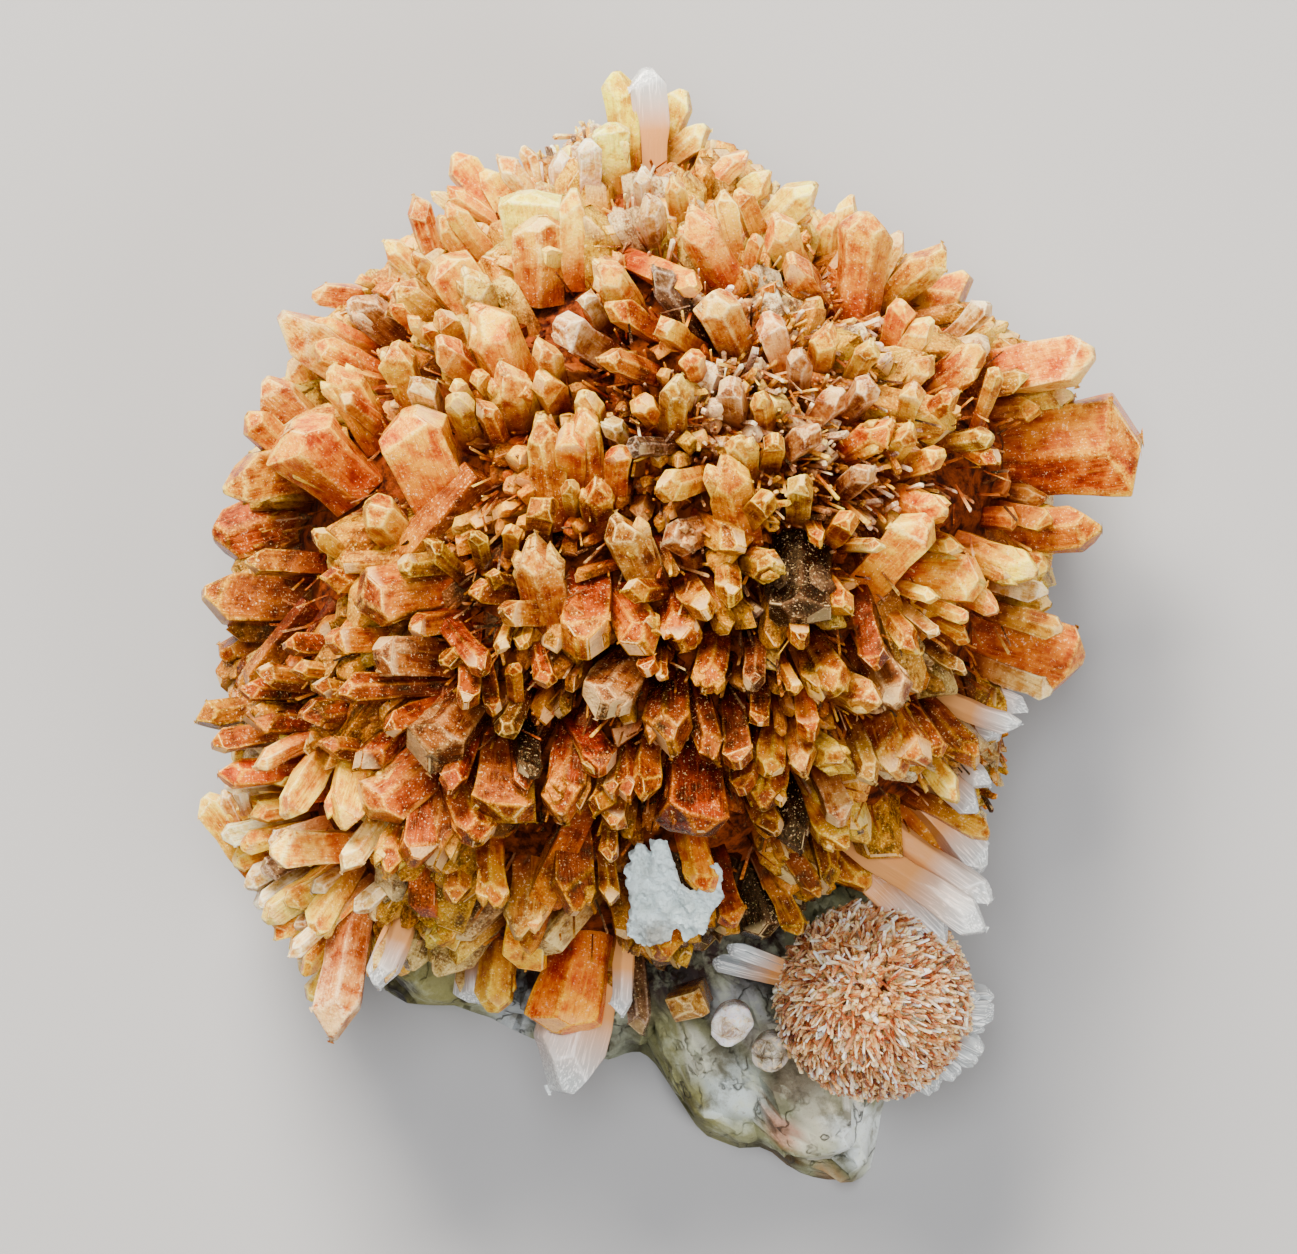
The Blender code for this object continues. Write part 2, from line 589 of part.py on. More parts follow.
def flake_shape(grow):
    """The flake's outline, made a plate and tilted to lie against the dome."""
    curve = bpy.data.curves.new("flake outline", "CURVE")
    curve.dimensions = "2D"
    curve.fill_mode = "BOTH"
    curve.extrude = FLAKE_THICKNESS / 2 + grow
    curve.offset = grow
    line = curve.splines.new("POLY")
    line.points.add(len(FLAKE_OUTLINE) - 1)
    line.use_cyclic_u = True
    middle = place(*FLAKE_MIDDLE, FLAKE_HEIGHT)
    for point, (across, down) in zip(line.points, FLAKE_OUTLINE):
        offset = place(across, down, FLAKE_HEIGHT) - middle
        point.co = (offset.x, offset.y / math.cos(FLAKE_TILT), 0, 1)
    holder = bpy.data.objects.new("flake outline", curve)
    bpy.context.scene.collection.objects.link(holder)
    graph = bpy.context.evaluated_depsgraph_get()
    mesh = bpy.data.meshes.new_from_object(holder.evaluated_get(graph))
    bpy.data.objects.remove(holder, do_unlink=True)
    shape = bmesh.new()
    shape.from_mesh(mesh)
    bmesh.ops.remove_doubles(shape, verts=shape.verts, dist=MERGE)
    tilt = Matrix.Translation(middle) @ Matrix.Rotation(FLAKE_TILT, 4, "X")
    bmesh.ops.transform(shape, verts=shape.verts, matrix=tilt)
    return shape


def ball_space_shape():
    """Room for the side cluster: to its blade tips above, and drawn in to its core below."""
    shape = bmesh.new()
    bmesh.ops.create_uvsphere(shape, u_segments=SEAT_SEGMENTS, v_segments=SEAT_RINGS, radius=1)
    for vert in shape.verts:
        share = (vert.co.z - BALL_SEAT_ALL) / (BALL_SEAT_FROM - BALL_SEAT_ALL)
        share = min(max(share, 0), 1)
        vert.co *= BALL_CORE + (BALL_REACH - BALL_CORE) * share + GAP
    bmesh.ops.translate(shape, verts=shape.verts, vec=ball_middle())
    return shape


def main():
    clear_scene()
    group = collection("creedite_cluster")
    cutters = collection("cutters", hidden=True)

    cluster = build_main_cluster(group, material("amber creedite", AMBER, 0.25))
    ball = build_side_cluster(group, material("peach creedite", PEACH, 0.4))
    matrix = add(matrix_shape(0), "matrix", group, material("matrix rock", STONE, 0.8))

    add(flake_shape(0), "white_flake", group, material("white chalky flake", CHALK, 0.7))
    grain_finishes = {
        "honey_crystal": material("honey creedite", HONEY, 0.25),
        "milky_lump": material("milky grain", MILK, 0.4),
        "grey_lump": material("grey grain", SMOKE, 0.35),
    }
    for name, finish in grain_finishes.items():
        add(grain_shape(name, 0), name, group, finish)
        space = add(grain_shape(name, GAP), f"space for {name}", cutters)
        boolean(matrix, "DIFFERENCE", f"seat {name}", other=space)

    matrix_space = add(matrix_shape(GAP), "space for the matrix", cutters)
    boolean(matrix_space, "DIFFERENCE", "keep the foot", other=add(core_shape(GAP / 3), "foot", cutters))
    boolean(cluster, "DIFFERENCE", "keep crystals out of the matrix", other=matrix_space)
    core_space = add(core_shape(GAP), "space for the core", cutters)
    boolean(matrix, "DIFFERENCE", "seat the cluster", other=core_space)
    ball_seat = add(ball_space_shape(), "space for the ball", cutters)
    boolean(matrix, "DIFFERENCE", "seat the ball", other=ball_seat)
    boolean(cluster, "DIFFERENCE", "leave room for the ball", other=ball_seat)
    for space in left_blade_spaces(cutters):
        boolean(cluster, "DIFFERENCE", f"leave {space.name}", other=space)
    flake_space = add(flake_shape(GAP), "space for the flake", cutters)
    boolean(cluster, "DIFFERENCE", "leave room for the flake", other=flake_space)


main()
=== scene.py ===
"""Creedite cluster: crystals, side ball, matrix, white flake, grains and stage.

Every crystal that shows in the photograph is listed by its pixels and its tone. The moulds
are modelled once, and each crystal is a copy of one of them, set from its root to its tip.
"""

import math
import random

import bpy
import numpy as np
from bpy.props import FloatProperty, FloatVectorProperty, IntProperty, PointerProperty
from mathutils import Matrix, Vector, kdtree, noise


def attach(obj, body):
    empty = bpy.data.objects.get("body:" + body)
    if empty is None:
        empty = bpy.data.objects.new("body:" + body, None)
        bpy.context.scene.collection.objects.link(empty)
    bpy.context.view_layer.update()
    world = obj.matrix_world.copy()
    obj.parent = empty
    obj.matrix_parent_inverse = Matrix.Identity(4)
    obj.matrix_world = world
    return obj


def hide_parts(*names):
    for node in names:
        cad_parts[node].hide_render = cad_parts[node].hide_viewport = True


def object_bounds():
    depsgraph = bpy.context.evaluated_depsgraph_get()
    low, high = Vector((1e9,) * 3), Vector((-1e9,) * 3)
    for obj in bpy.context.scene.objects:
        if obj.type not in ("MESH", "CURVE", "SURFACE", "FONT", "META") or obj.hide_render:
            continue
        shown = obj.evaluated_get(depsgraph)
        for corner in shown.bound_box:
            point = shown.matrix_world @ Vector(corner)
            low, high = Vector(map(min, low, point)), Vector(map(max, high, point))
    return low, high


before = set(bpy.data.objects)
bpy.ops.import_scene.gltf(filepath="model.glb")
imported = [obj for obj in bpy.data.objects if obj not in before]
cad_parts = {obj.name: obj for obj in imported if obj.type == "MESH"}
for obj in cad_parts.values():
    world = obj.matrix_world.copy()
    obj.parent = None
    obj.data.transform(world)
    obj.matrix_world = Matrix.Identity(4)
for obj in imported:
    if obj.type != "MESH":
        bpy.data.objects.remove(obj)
cad_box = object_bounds()

bl_info = {
    "name": "Creedite cluster",
    "version": (1, 0, 0),
    "blender": (4, 5, 0),
    "location": "View3D > Sidebar > Creedite",
    "description": "Builds a cluster of amber creedite crystals on its matrix",
    "category": "Add Mesh",
}

MM = 0.001

# How the photograph maps to sizes, as in the part's source
PIXELS_PER_METRE = 12000.0
PICTURE_CENTRE = (648.5, 627.0)
PICTURE_SIZE = (1297, 1254)
EYE_HEIGHT = 600 * MM
READ_HEIGHT = 22 * MM

# Main cluster: the dome of its tips, and the smaller one that the roots make
DOME_CENTRE = (660.0, 560.0)
NUCLEUS = (680.0, 440.0)
NUCLEUS_HEIGHT = 10 * MM
WIDEST_HEIGHT = 14 * MM
TIP_RISE = 30 * MM
DOME_RADIUS = 34 * MM
TIP_REACH = (415, 455, 415, 405, 470, 430, 432, 445, 447, 488, 535, 500, 450, 400, 430, 405)
ROOT_INSET = 62.0
ROOT_RISE = 25 * MM
CORE_FOOT = 8.3 * MM
CORE_UNDERCUT = 0.78
CORE_TURN = 1.5
CORE_FULLNESS = 0.6
CORE_INSIDE = 0.97
ROOT_TAPER = 0.82
THINNEST = 0.60
THICKEST = 0.85
SINK = 2.0 * MM
MARCH_STEP = 0.5 * MM
LONGEST = 19 * MM
LEAST_DROP = 0.3
TIP_JITTER = 1.0 * MM
BELT_SHARE = 0.93
BELT = (12 * MM, 25 * MM)
LEDGE_FROM = 226.0
LEDGE_TO = 318.0
GOLDEN_ANGLE = math.pi * (3 - math.sqrt(5))

# Crystals round the hidden flank: how many, tip heights, pixels inside the outline, and widths
FLANK_COUNT = 22
FLANK_HEIGHTS = (5.5 * MM, 10.0 * MM)
FLANK_INSETS = (30.0, 60.0)
FLANK_WIDTHS = (44.0, 64.0)
FLANK_LENGTH_SHARE = 0.36
# The small crystals of the flank: how many are tried, how high up they go, and how far they show
FLANK_TRIES = 2300
FLANK_LEVEL = 0.64
ROOT_LOWEST = 8 * MM
FLANK_SHOWN = (0.8, 3.6, 1.6)
# The most light that the painted shade lets the flank's crystals have
FLANK_MOST_LIGHT = 0.42
# How far below a read crystal a small one has to stay to be hidden by it
UNDER = 0.8 * MM

# The share of their depth that small crystals keep at the rim of the dome
RIM_DEPTH = 0.2

# Least, greatest and usual width in mm of the small crystals, and of those on the flank
SMALL_WIDTHS = (0.7, 2.9, 1.3)
FLANK_SMALL_WIDTHS = (1.2, 4.6, 2.2)
# How many places are tried for the druse and for the needles
DRUSE_TRIES = 15000
NEEDLE_TRIES = 5200

# How many moulds the large crystals, the small ones and the side cluster's blades have
LARGE_MOULDS = 18
SMALL_MOULDS = 6
BLADE_MOULDS = 5

# From this width on a crystal is as light as a wide one gets
WIDEST = 5 * MM

# How many thinner crystals grow along a wide one for each mm of its width
BUNDLE_SHARE = 0.7
BUNDLE_WITHIN = 0.98
WIDE_FROM = 2.6 * MM

# How many widths of a crystal are shallow, however deep it stands
OWN_DEPTH = 0.8

# The share of a read crystal's width and length that small ones leave free
FREE_WIDTH = 1.15
FREE_LENGTH = 0.9

# Side cluster
BALL_CENTRE = (874.0, 1000.0)
BALL_HEIGHT = 14.6 * MM
BALL_CORE = 6.6 * MM
BALL_REACH = 8.7 * MM
BALL_LOWEST_AIM = -0.22
BALL_RIGHT_BLADES = (
    (993, 1018, 30), (983, 1052, 30), (958, 1076, 26), (938, 1090, 24), (948, 972, 22),
)
BALL_LEFT_BLADES = ((713, 960, 24), (727, 946, 22))
SPINES = 2600
STRANDS = 1600
# How far from the ball's middle to their tips the roots of its clear blades lie
FAN_ROOT = 0.45
# The palest strand tone also stands in for glints, partly a painted highlight
STRAND_TONES = ("#fff0dc", "#f2c07a", "#dc8a3c", "#a04a1a")
STRAND_SHARES = (26, 26, 28, 20)
BALL_TONES = ("#f09c48", "#f8ca70", "#fff2dc", "#e8841c", "#b04c12")
BALL_WARM = (34, 10, 6, 28, 22)
BALL_PALE = (30, 36, 26, 7, 1)

# Matrix
MATRIX_CENTRE = (640.0, 700.0)
MATRIX_OUTLINE = (
    (0, 325), (45, 335), (90, 365), (135, 335), (180, 315), (215, 350), (228.7, 386), (232.6, 382),
    (238.8, 357), (244.8, 351), (252, 355), (265.2, 361), (268.2, 352), (270.6, 352), (272.8, 367),
    (275.7, 402), (278.1, 438), (282.5, 459), (285.7, 464), (288.1, 495), (293.3, 530), (296, 524),
    (300.3, 478), (311, 392), (333.4, 335),
)
MATRIX_TOP = 10.4 * MM
MATRIX_SQUARENESS = 0.42
MATRIX_FULLNESS = 0.8
MATRIX_LUMP_SIZE = 9 * MM
MATRIX_LUMP_HEIGHT = 1.3 * MM
MATRIX_FLAT_UP_TO = 0.5 * MM
MATRIX_PLAIN = "#84855e"
# Widths of its broken blocks, of its crust, and of the blocks that are each lighter or darker
MATRIX_BREAKS = 5 * MM
MATRIX_CRUST = 2.2 * MM
MATRIX_SHADES = 4 * MM
# How many pixels the edge of a stain wanders, and the size of its bays
STAIN_WANDER = 16
STAIN_BAYS = 3 * MM
# Stains on the matrix, the first four dark maroon ones painted shadow under the main cluster: middle across
# and down, reach in pixels, colour
MATRIX_STAINS_AND_SHADOW = (
    (682, 962, 62, "#2c0e06"), (742, 958, 58, "#2c0e06"), (610, 985, 40, "#2c0e06"),
    (520, 985, 45, "#3a1a0a"),
    (420, 1000, 60, "#8e8b52"), (515, 1010, 34, "#a9b0b4"), (405, 990, 10, "#3c3626"),
    (600, 1040, 46, "#9aa08a"), (645, 1050, 18, "#2c2419"), (670, 1060, 40, "#8b8a5c"),
    (735, 1090, 46, "#a9b2ac"), (700, 1052, 26, "#b7b8a4"), (790, 1082, 34, "#7b705a"),
    (690, 1115, 30, "#8d8a4e"), (715, 1135, 26, "#98955a"), (728, 1100, 22, "#c3cfce"),
    (820, 1125, 36, "#d6d2b8"), (862, 1140, 42, "#eef7f6"), (850, 1095, 16, "#fbf7e6"),
    (780, 1128, 20, "#d6a486"), (765, 1150, 13, "#4a3512"), (778, 1160, 14, "#7a5e1c"),
    (740, 1010, 40, "#b6b8b6"), (760, 1040, 24, "#8f8a7c"), (835, 1180, 16, "#b98f5e"),
)

# White flake
FLAKE_OUTLINE = (
    (622, 860), (628, 846), (637, 841), (645, 847), (651, 852), (648, 838), (656, 831), (665, 834),
    (676, 864), (688, 884), (700, 892), (707, 884), (712, 863), (722, 866), (727, 875), (724, 881),
    (732, 898), (720, 910), (709, 932), (699, 939), (685, 945), (678, 931), (668, 942), (640, 950),
    (622, 938), (626, 905), (622, 880),
)
FLAKE_MIDDLE = (676.0, 890.0)
FLAKE_HEIGHT = 31.5 * MM
FLAKE_TILT = math.radians(34)
FLAKE_THICKNESS = 0.9 * MM
FLAKE_CLEARANCE = 56.0
FLAKE_FREE_FROM = 24 * MM
# The middle of its grey place, and how many points its outline has between two listed ones
FLAKE_GREYED = (656, 938)
FLAKE_STEPS = 14
FLAKE_VOXEL = 0.15 * MM
# Its lumps, their height and its crumbs
FLAKE_LUMPS = 2.4 * MM
FLAKE_LUMP_HEIGHT = 0.6 * MM
FLAKE_CRUMBS = 0.5 * MM

# Grains on the matrix: place, width, height, sides, thickness share
GRAINS = {
    "honey_crystal": ((692.0, 993.0), 3.4 * MM, 6.5 * MM, 4, 0.75),
    "milky_lump": ((732.0, 1014.0), 4.3 * MM, 4.4 * MM, 7, 0.9),
    "grey_lump": ((772.0, 1042.0), 3.5 * MM, 4.6 * MM, 6, 0.95),
}
GRAIN_FOOT = 10.0 * MM
GRAIN_COLOURS = {"honey_crystal": "#9a6414", "milky_lump": "#dfe0e8", "grey_lump": "#8f8672"}

# The body colour of each tone a crystal can have
TONES = {
    "honey": "#f8ab02",
    "amber": "#f09a02",
    "rust": "#dc7c02",
    "peach": "#f4a81c",
    "pale": "#f8b910",
    "clear": "#e4ba50",
    "white": "#f4d284",
    "lilac": "#e09c48",
    "smoky": "#56341a",
    "vivid": "#ff7200",
}

# Patches covered with white sugary needles: pixel across and down, reach
DRUSE = (
    (655, 218, 42), (745, 285, 56), (830, 345, 60), (760, 400, 70), (860, 470, 60), (570, 150, 34),
    (625, 425, 20), (240, 810, 34), (965, 780, 50), (800, 500, 40),
)
# Clear crystals nearer to the dome's middle than this share are cloudy
CLEAR_BEYOND = 0.9

# Dark hollows between the crystals: middle and radius in pixels; small crystals there grow lower
HOLLOWS = (
    (680, 668, 30), (475, 632, 34), (652, 300, 22), (465, 795, 26), (520, 832, 22), (480, 900, 36),
    (598, 820, 28), (660, 985, 34), (725, 944, 24), (820, 868, 24), (610, 560, 16), (545, 560, 20),
    (590, 440, 20), (860, 440, 22), (760, 560, 22), (900, 610, 22), (330, 600, 18), (345, 750, 20),
    (700, 780, 20), (850, 740, 18), (420, 560, 16), (940, 560, 18), (760, 700, 16), (410, 690, 16),
)
HOLLOW_DEPTH = 3.5 * MM
CLEAR_COLOUR = "#e6eef2"
# What half of the small crystals take instead of a pale neighbour's tone
DEEPER = {
    "pale": "honey", "clear": "honey", "white": "pale", "lilac": "peach", "peach": "amber", "honey": "amber",
}
# How light the crystals are at each pixel down: painted shade, darker towards the bottom
PAINTED_SHADE_ROWS = ((80, 1.05), (300, 0.74), (480, 0.54), (600, 0.33), (760, 0.20), (900, 0.25), (1100, 0.7))
# How strongly the painted shade deepens a colour, and the lightness at which it stays as it is
PAINTED_SHADE_DEEPENING = 0.94
PAINTED_SHADE_PLAIN = 0.68
# Places with less painted shade, in pixels: across, down, radius, and how light they are at least
LESS_PAINTED_SHADE = (
    (925, 850, 95, 0.66), (985, 610, 80, 0.6), (335, 1010, 70, 0.6), (850, 770, 120, 0.42),
    (960, 560, 140, 0.76), (255, 870, 150, 0.85), (487, 960, 70, 0.5), (1075, 650, 80, 0.55),
    (1120, 450, 90, 0.6), (555, 1085, 40, 0.7),
)
# How far the tones of crystals spread, of small ones, and of needles
TONE_SPREAD = 0.16
SMALL_SPREAD = 0.25
NEEDLE_SPREAD = 0.3
# How much lighter than the painted shade says a small crystal and a wide one are
SMALL_LIGHT = 0.94
WIDE_LIGHT = 1.3

# The crystals, as in the part's source, with the fine ones it leaves out. Tip across and down,
# root across and down, width, tone, and the tip's height in mm where it is not on the dome
CROWN = (
    (620, 71, 628, 150, 36, "honey"), (648, 69, 650, 160, 38, "clear"), (682, 89, 668, 130, 30, "pale"),
    (708, 128, 680, 150, 30, "pale"), (746, 150, 705, 190, 28, "peach"), (772, 174, 738, 200, 26, "honey"),
    (815, 182, 780, 215, 36, "pale"), (612, 124, 612, 195, 40, "pale"), (692, 212, 722, 275, 45, "rust"),
    (700, 288, 635, 258, 28, "amber"), (775, 220, 795, 262, 36, "amber"), (757, 235, 752, 262, 14, "honey"),
    (740, 192, 757, 228, 22, "honey"), (722, 192, 738, 262, 22, "pale"), (600, 265, 628, 305, 36, "amber"),
    (790, 262, 808, 285, 30, "rust"), (832, 213, 825, 262, 26, "amber"), (868, 212, 858, 305, 52, "amber"),
    (942, 247, 890, 300, 36, "pale"), (966, 272, 915, 325, 46, "amber"), (988, 303, 960, 330, 20, "white"),
    (452, 155, 495, 207, 30, "amber"), (484, 170, 510, 212, 30, "amber"), (500, 157, 525, 188, 26, "peach"),
    (525, 145, 535, 175, 18, "peach"), (415, 198, 432, 248, 26, "peach"), (432, 190, 480, 228, 16, "pale"),
    (447, 187, 497, 222, 18, "amber"), (436, 218, 468, 255, 28, "amber"), (450, 205, 482, 248, 24, "honey"),
    (530, 190, 545, 300, 66, "pale"), (537, 215, 540, 332, 58, "amber"), (572, 190, 575, 290, 28, "pale"),
    (445, 258, 478, 310, 50, "amber"), (468, 275, 485, 312, 34, "pale"), (390, 262, 420, 290, 34, "peach"),
    (412, 255, 430, 272, 16, "honey"), (398, 284, 430, 310, 28, "amber"), (385, 241, 405, 262, 24, "pale"),
    (560, 150, 565, 200, 26, "white"), (588, 140, 590, 190, 24, "white"), (650, 200, 655, 235, 26, "white"),
    (675, 180, 680, 215, 22, "pale"), (640, 170, 645, 200, 20, "white"), (850, 195, 845, 220, 20, "pale"),
    (900, 232, 885, 262, 24, "peach"),
)
LEFT = (
    (352, 298, 385, 325, 36, "lilac"), (312, 292, 372, 300, 24, "peach"), (280, 318, 322, 350, 50, "peach"),
    (315, 320, 365, 345, 22, "pale"), (314, 346, 382, 375, 30, "honey"), (292, 358, 318, 396, 34, "pale"),
    (332, 368, 378, 440, 40, "honey"), (262, 382, 285, 405, 40, "peach"), (246, 415, 275, 440, 34, "amber"),
    (265, 425, 290, 437, 18, "pale"), (290, 425, 362, 498, 78, "amber"), (222, 485, 288, 470, 50, "amber"),
    (214, 542, 295, 520, 62, "rust"), (365, 505, 400, 540, 42, "pale"), (393, 345, 412, 400, 34, "honey"),
    (408, 412, 440, 500, 66, "amber"), (540, 420, 552, 500, 38, "honey"), (580, 412, 590, 475, 34, "amber"),
    (570, 430, 572, 480, 30, "amber"), (588, 393, 592, 425, 28, "honey"), (482, 310, 508, 370, 52, "amber"),
    (443, 314, 455, 345, 24, "honey"), (440, 343, 472, 378, 28, "peach"), (420, 378, 428, 410, 28, "clear"),
    (458, 395, 468, 430, 28, "honey"), (484, 405, 500, 440, 22, "rust"), (508, 375, 515, 408, 46, "amber"),
    (478, 374, 490, 395, 18, "honey"), (545, 378, 555, 402, 30, "amber"), (545, 345, 552, 380, 28, "rust"),
    (562, 325, 600, 350, 34, "lilac"), (585, 295, 600, 320, 18, "white"), (568, 483, 575, 510, 20, "amber"),
    (595, 487, 598, 520, 34, "amber"), (545, 505, 535, 530, 28, "amber"), (393, 305, 410, 322, 16, "honey"),
    (410, 318, 425, 335, 16, "pale"), (425, 325, 440, 345, 16, "amber"), (455, 382, 465, 398, 16, "pale"),
    (340, 395, 370, 420, 22, "peach"), (430, 545, 445, 560, 20, "honey"), (400, 565, 430, 565, 26, "pale"),
)
CENTRE = (
    (610, 305, 655, 330, 24, "amber"), (605, 357, 652, 372, 26, "rust"), (660, 325, 690, 342, 22, "honey"),
    (712, 295, 735, 340, 44, "peach"), (768, 318, 785, 370, 28, "lilac"), (655, 270, 690, 320, 30, "smoky"),
    (678, 382, 672, 432, 30, "amber"), (630, 447, 672, 445, 20, "smoky"), (620, 446, 615, 492, 26, "amber"),
    (660, 490, 705, 475, 30, "pale"), (722, 465, 738, 520, 48, "honey"), (740, 438, 745, 470, 34, "pale"),
    (768, 500, 750, 520, 24, "honey"), (800, 480, 800, 515, 26, "pale"), (512, 528, 512, 553, 17, "pale"),
    (475, 532, 482, 558, 20, "honey"), (535, 545, 550, 620, 50, "peach"), (502, 612, 555, 615, 26, "peach"),
    (470, 590, 515, 595, 24, "amber"), (490, 577, 515, 585, 18, "honey"), (582, 645, 590, 600, 50, "amber"),
    (600, 705, 625, 670, 50, "lilac"), (467, 706, 468, 676, 24, "honey"), (495, 713, 488, 680, 17, "amber"),
    (440, 660, 470, 655, 22, "pale"), (487, 672, 468, 650, 26, "amber"), (512, 665, 515, 690, 18, "honey"),
    (547, 686, 540, 660, 20, "amber"), (503, 735, 520, 700, 24, "clear"), (520, 648, 525, 630, 16, "honey"),
    (500, 650, 505, 635, 14, "pale"), (430, 755, 455, 720, 60, "lilac"), (622, 520, 648, 578, 42, "peach"),
    (630, 590, 660, 590, 24, "honey"), (645, 640, 625, 612, 46, "honey"), (680, 645, 678, 612, 42, "amber"),
    (705, 612, 690, 588, 30, "honey"), (672, 540, 700, 530, 34, "lilac"), (738, 548, 710, 528, 30, "honey"),
    (728, 598, 728, 560, 26, "honey"), (775, 568, 748, 560, 32, "pale"), (800, 622, 800, 560, 66, "smoky"),
    (755, 688, 755, 645, 23, "lilac"), (705, 690, 715, 645, 34, "amber"), (668, 745, 668, 700, 46, "amber"),
    (715, 760, 700, 705, 30, "amber"), (738, 765, 735, 705, 28, "peach"), (760, 725, 760, 700, 20, "honey"),
    (797, 693, 780, 660, 16, "pale"), (662, 680, 662, 665, 12, "honey"), (648, 672, 648, 655, 18, "amber"),
    (800, 643, 798, 625, 20, "honey"), (800, 352, 800, 385, 26, "lilac"), (828, 330, 820, 365, 28, "honey"),
    (840, 392, 815, 420, 24, "lilac"), (812, 432, 790, 450, 26, "lilac"), (760, 395, 765, 425, 24, "pale"),
    (730, 385, 735, 415, 26, "lilac"), (775, 440, 770, 465, 22, "honey"), (690, 355, 700, 380, 24, "amber"),
    (640, 400, 655, 420, 24, "amber"), (610, 425, 625, 440, 22, "clear"),
)
RIGHT = (
    (905, 302, 893, 338, 24, "amber"), (928, 322, 910, 350, 26, "pale"), (995, 325, 935, 357, 22, "amber"),
    (985, 350, 928, 395, 42, "amber"), (998, 368, 983, 412, 18, "amber"), (888, 425, 850, 450, 34, "amber"),
    (908, 430, 895, 455, 24, "pale"), (915, 388, 905, 420, 22, "amber"), (872, 385, 850, 408, 28, "lilac"),
    (930, 360, 905, 385, 26, "amber"), (992, 435, 965, 440, 22, "pale"), (998, 463, 975, 450, 22, "amber"),
    (945, 515, 905, 500, 34, "amber"), (1095, 355, 1015, 370, 50, "peach"),
    (1073, 393, 1000, 405, 34, "amber"), (1140, 440, 990, 460, 98, "amber"),
    (820, 540, 812, 522, 18, "honey"), (880, 545, 848, 545, 14, "pale"), (926, 522, 875, 575, 44, "amber"),
    (980, 578, 925, 575, 46, "amber"), (1036, 577, 958, 548, 42, "honey"), (935, 597, 905, 588, 16, "pale"),
    (877, 668, 862, 600, 26, "amber"), (916, 648, 890, 615, 24, "honey"), (900, 705, 870, 655, 44, "lilac"),
    (835, 695, 815, 655, 46, "amber"), (878, 705, 845, 690, 34, "peach"), (968, 620, 935, 605, 16, "pale"),
    (970, 640, 935, 622, 16, "amber"), (938, 635, 900, 605, 14, "clear"), (965, 672, 925, 645, 16, "clear"),
    (998, 610, 965, 590, 26, "peach"), (810, 735, 805, 700, 24, "amber"), (1000, 735, 920, 715, 36, "clear"),
    (1102, 528, 1010, 530, 50, "amber"), (1082, 668, 985, 640, 80, "rust"),
    (1048, 595, 1010, 585, 22, "white"), (1028, 712, 960, 685, 26, "clear"),
    (1018, 728, 955, 705, 24, "clear"), (868, 470, 845, 490, 26, "lilac"), (850, 520, 835, 535, 22, "honey"),
    (870, 345, 855, 375, 24, "pale"), (955, 395, 930, 415, 24, "honey"), (940, 455, 910, 465, 26, "pale"),
    (960, 545, 930, 540, 22, "amber"), (845, 610, 830, 585, 26, "honey"),
)
LOWER_LEFT = (
    (245, 560, 320, 565, 26, "pale"), (315, 532, 335, 548, 18, "honey"), (203, 595, 325, 605, 52, "honey"),
    (219, 650, 300, 650, 34, "rust"), (285, 643, 315, 645, 22, "amber"), (258, 675, 300, 680, 26, "peach"),
    (293, 668, 325, 672, 18, "honey"), (196, 718, 262, 705, 28, "pale"), (212, 742, 262, 735, 24, "pale"),
    (245, 715, 300, 720, 34, "honey"), (302, 718, 350, 710, 34, "amber"), (337, 690, 430, 685, 28, "honey"),
    (378, 655, 425, 660, 44, "lilac"), (315, 685, 345, 692, 20, "pale"), (325, 580, 355, 580, 26, "honey"),
    (362, 600, 425, 590, 58, "peach"), (322, 745, 350, 750, 24, "peach"), (383, 728, 402, 720, 22, "honey"),
    (218, 775, 290, 768, 30, "vivid"), (203, 797, 270, 890, 28, "pale", 15),
    (222, 790, 242, 830, 20, "white"), (240, 788, 247, 815, 16, "white"),
    (246, 838, 288, 846, 28, "pale", 15), (270, 848, 305, 848, 36, "peach"), (285, 815, 308, 780, 30, "pale"),
    (338, 828, 352, 778, 38, "honey"), (256, 908, 318, 862, 26, "white", 15),
    (265, 922, 300, 895, 26, "pale"), (275, 940, 295, 920, 18, "pale"), (288, 957, 312, 935, 18, "white"),
    (302, 975, 325, 945, 20, "pale"), (312, 935, 330, 905, 32, "honey"), (328, 1037, 352, 930, 48, "lilac"),
    (375, 985, 395, 940, 32, "clear"), (355, 912, 378, 892, 20, "white"), (385, 872, 398, 842, 34, "honey"),
    (370, 812, 420, 775, 62, "peach"), (436, 868, 445, 800, 46, "peach"), (415, 862, 425, 800, 36, "amber"),
    (478, 845, 465, 800, 44, "amber"), (360, 770, 385, 745, 30, "amber"), (345, 870, 365, 840, 26, "clear"),
    (255, 765, 290, 748, 24, "peach"), (410, 625, 440, 622, 24, "amber"), (240, 690, 275, 690, 22, "peach"),
    (330, 640, 365, 640, 26, "amber"),
)
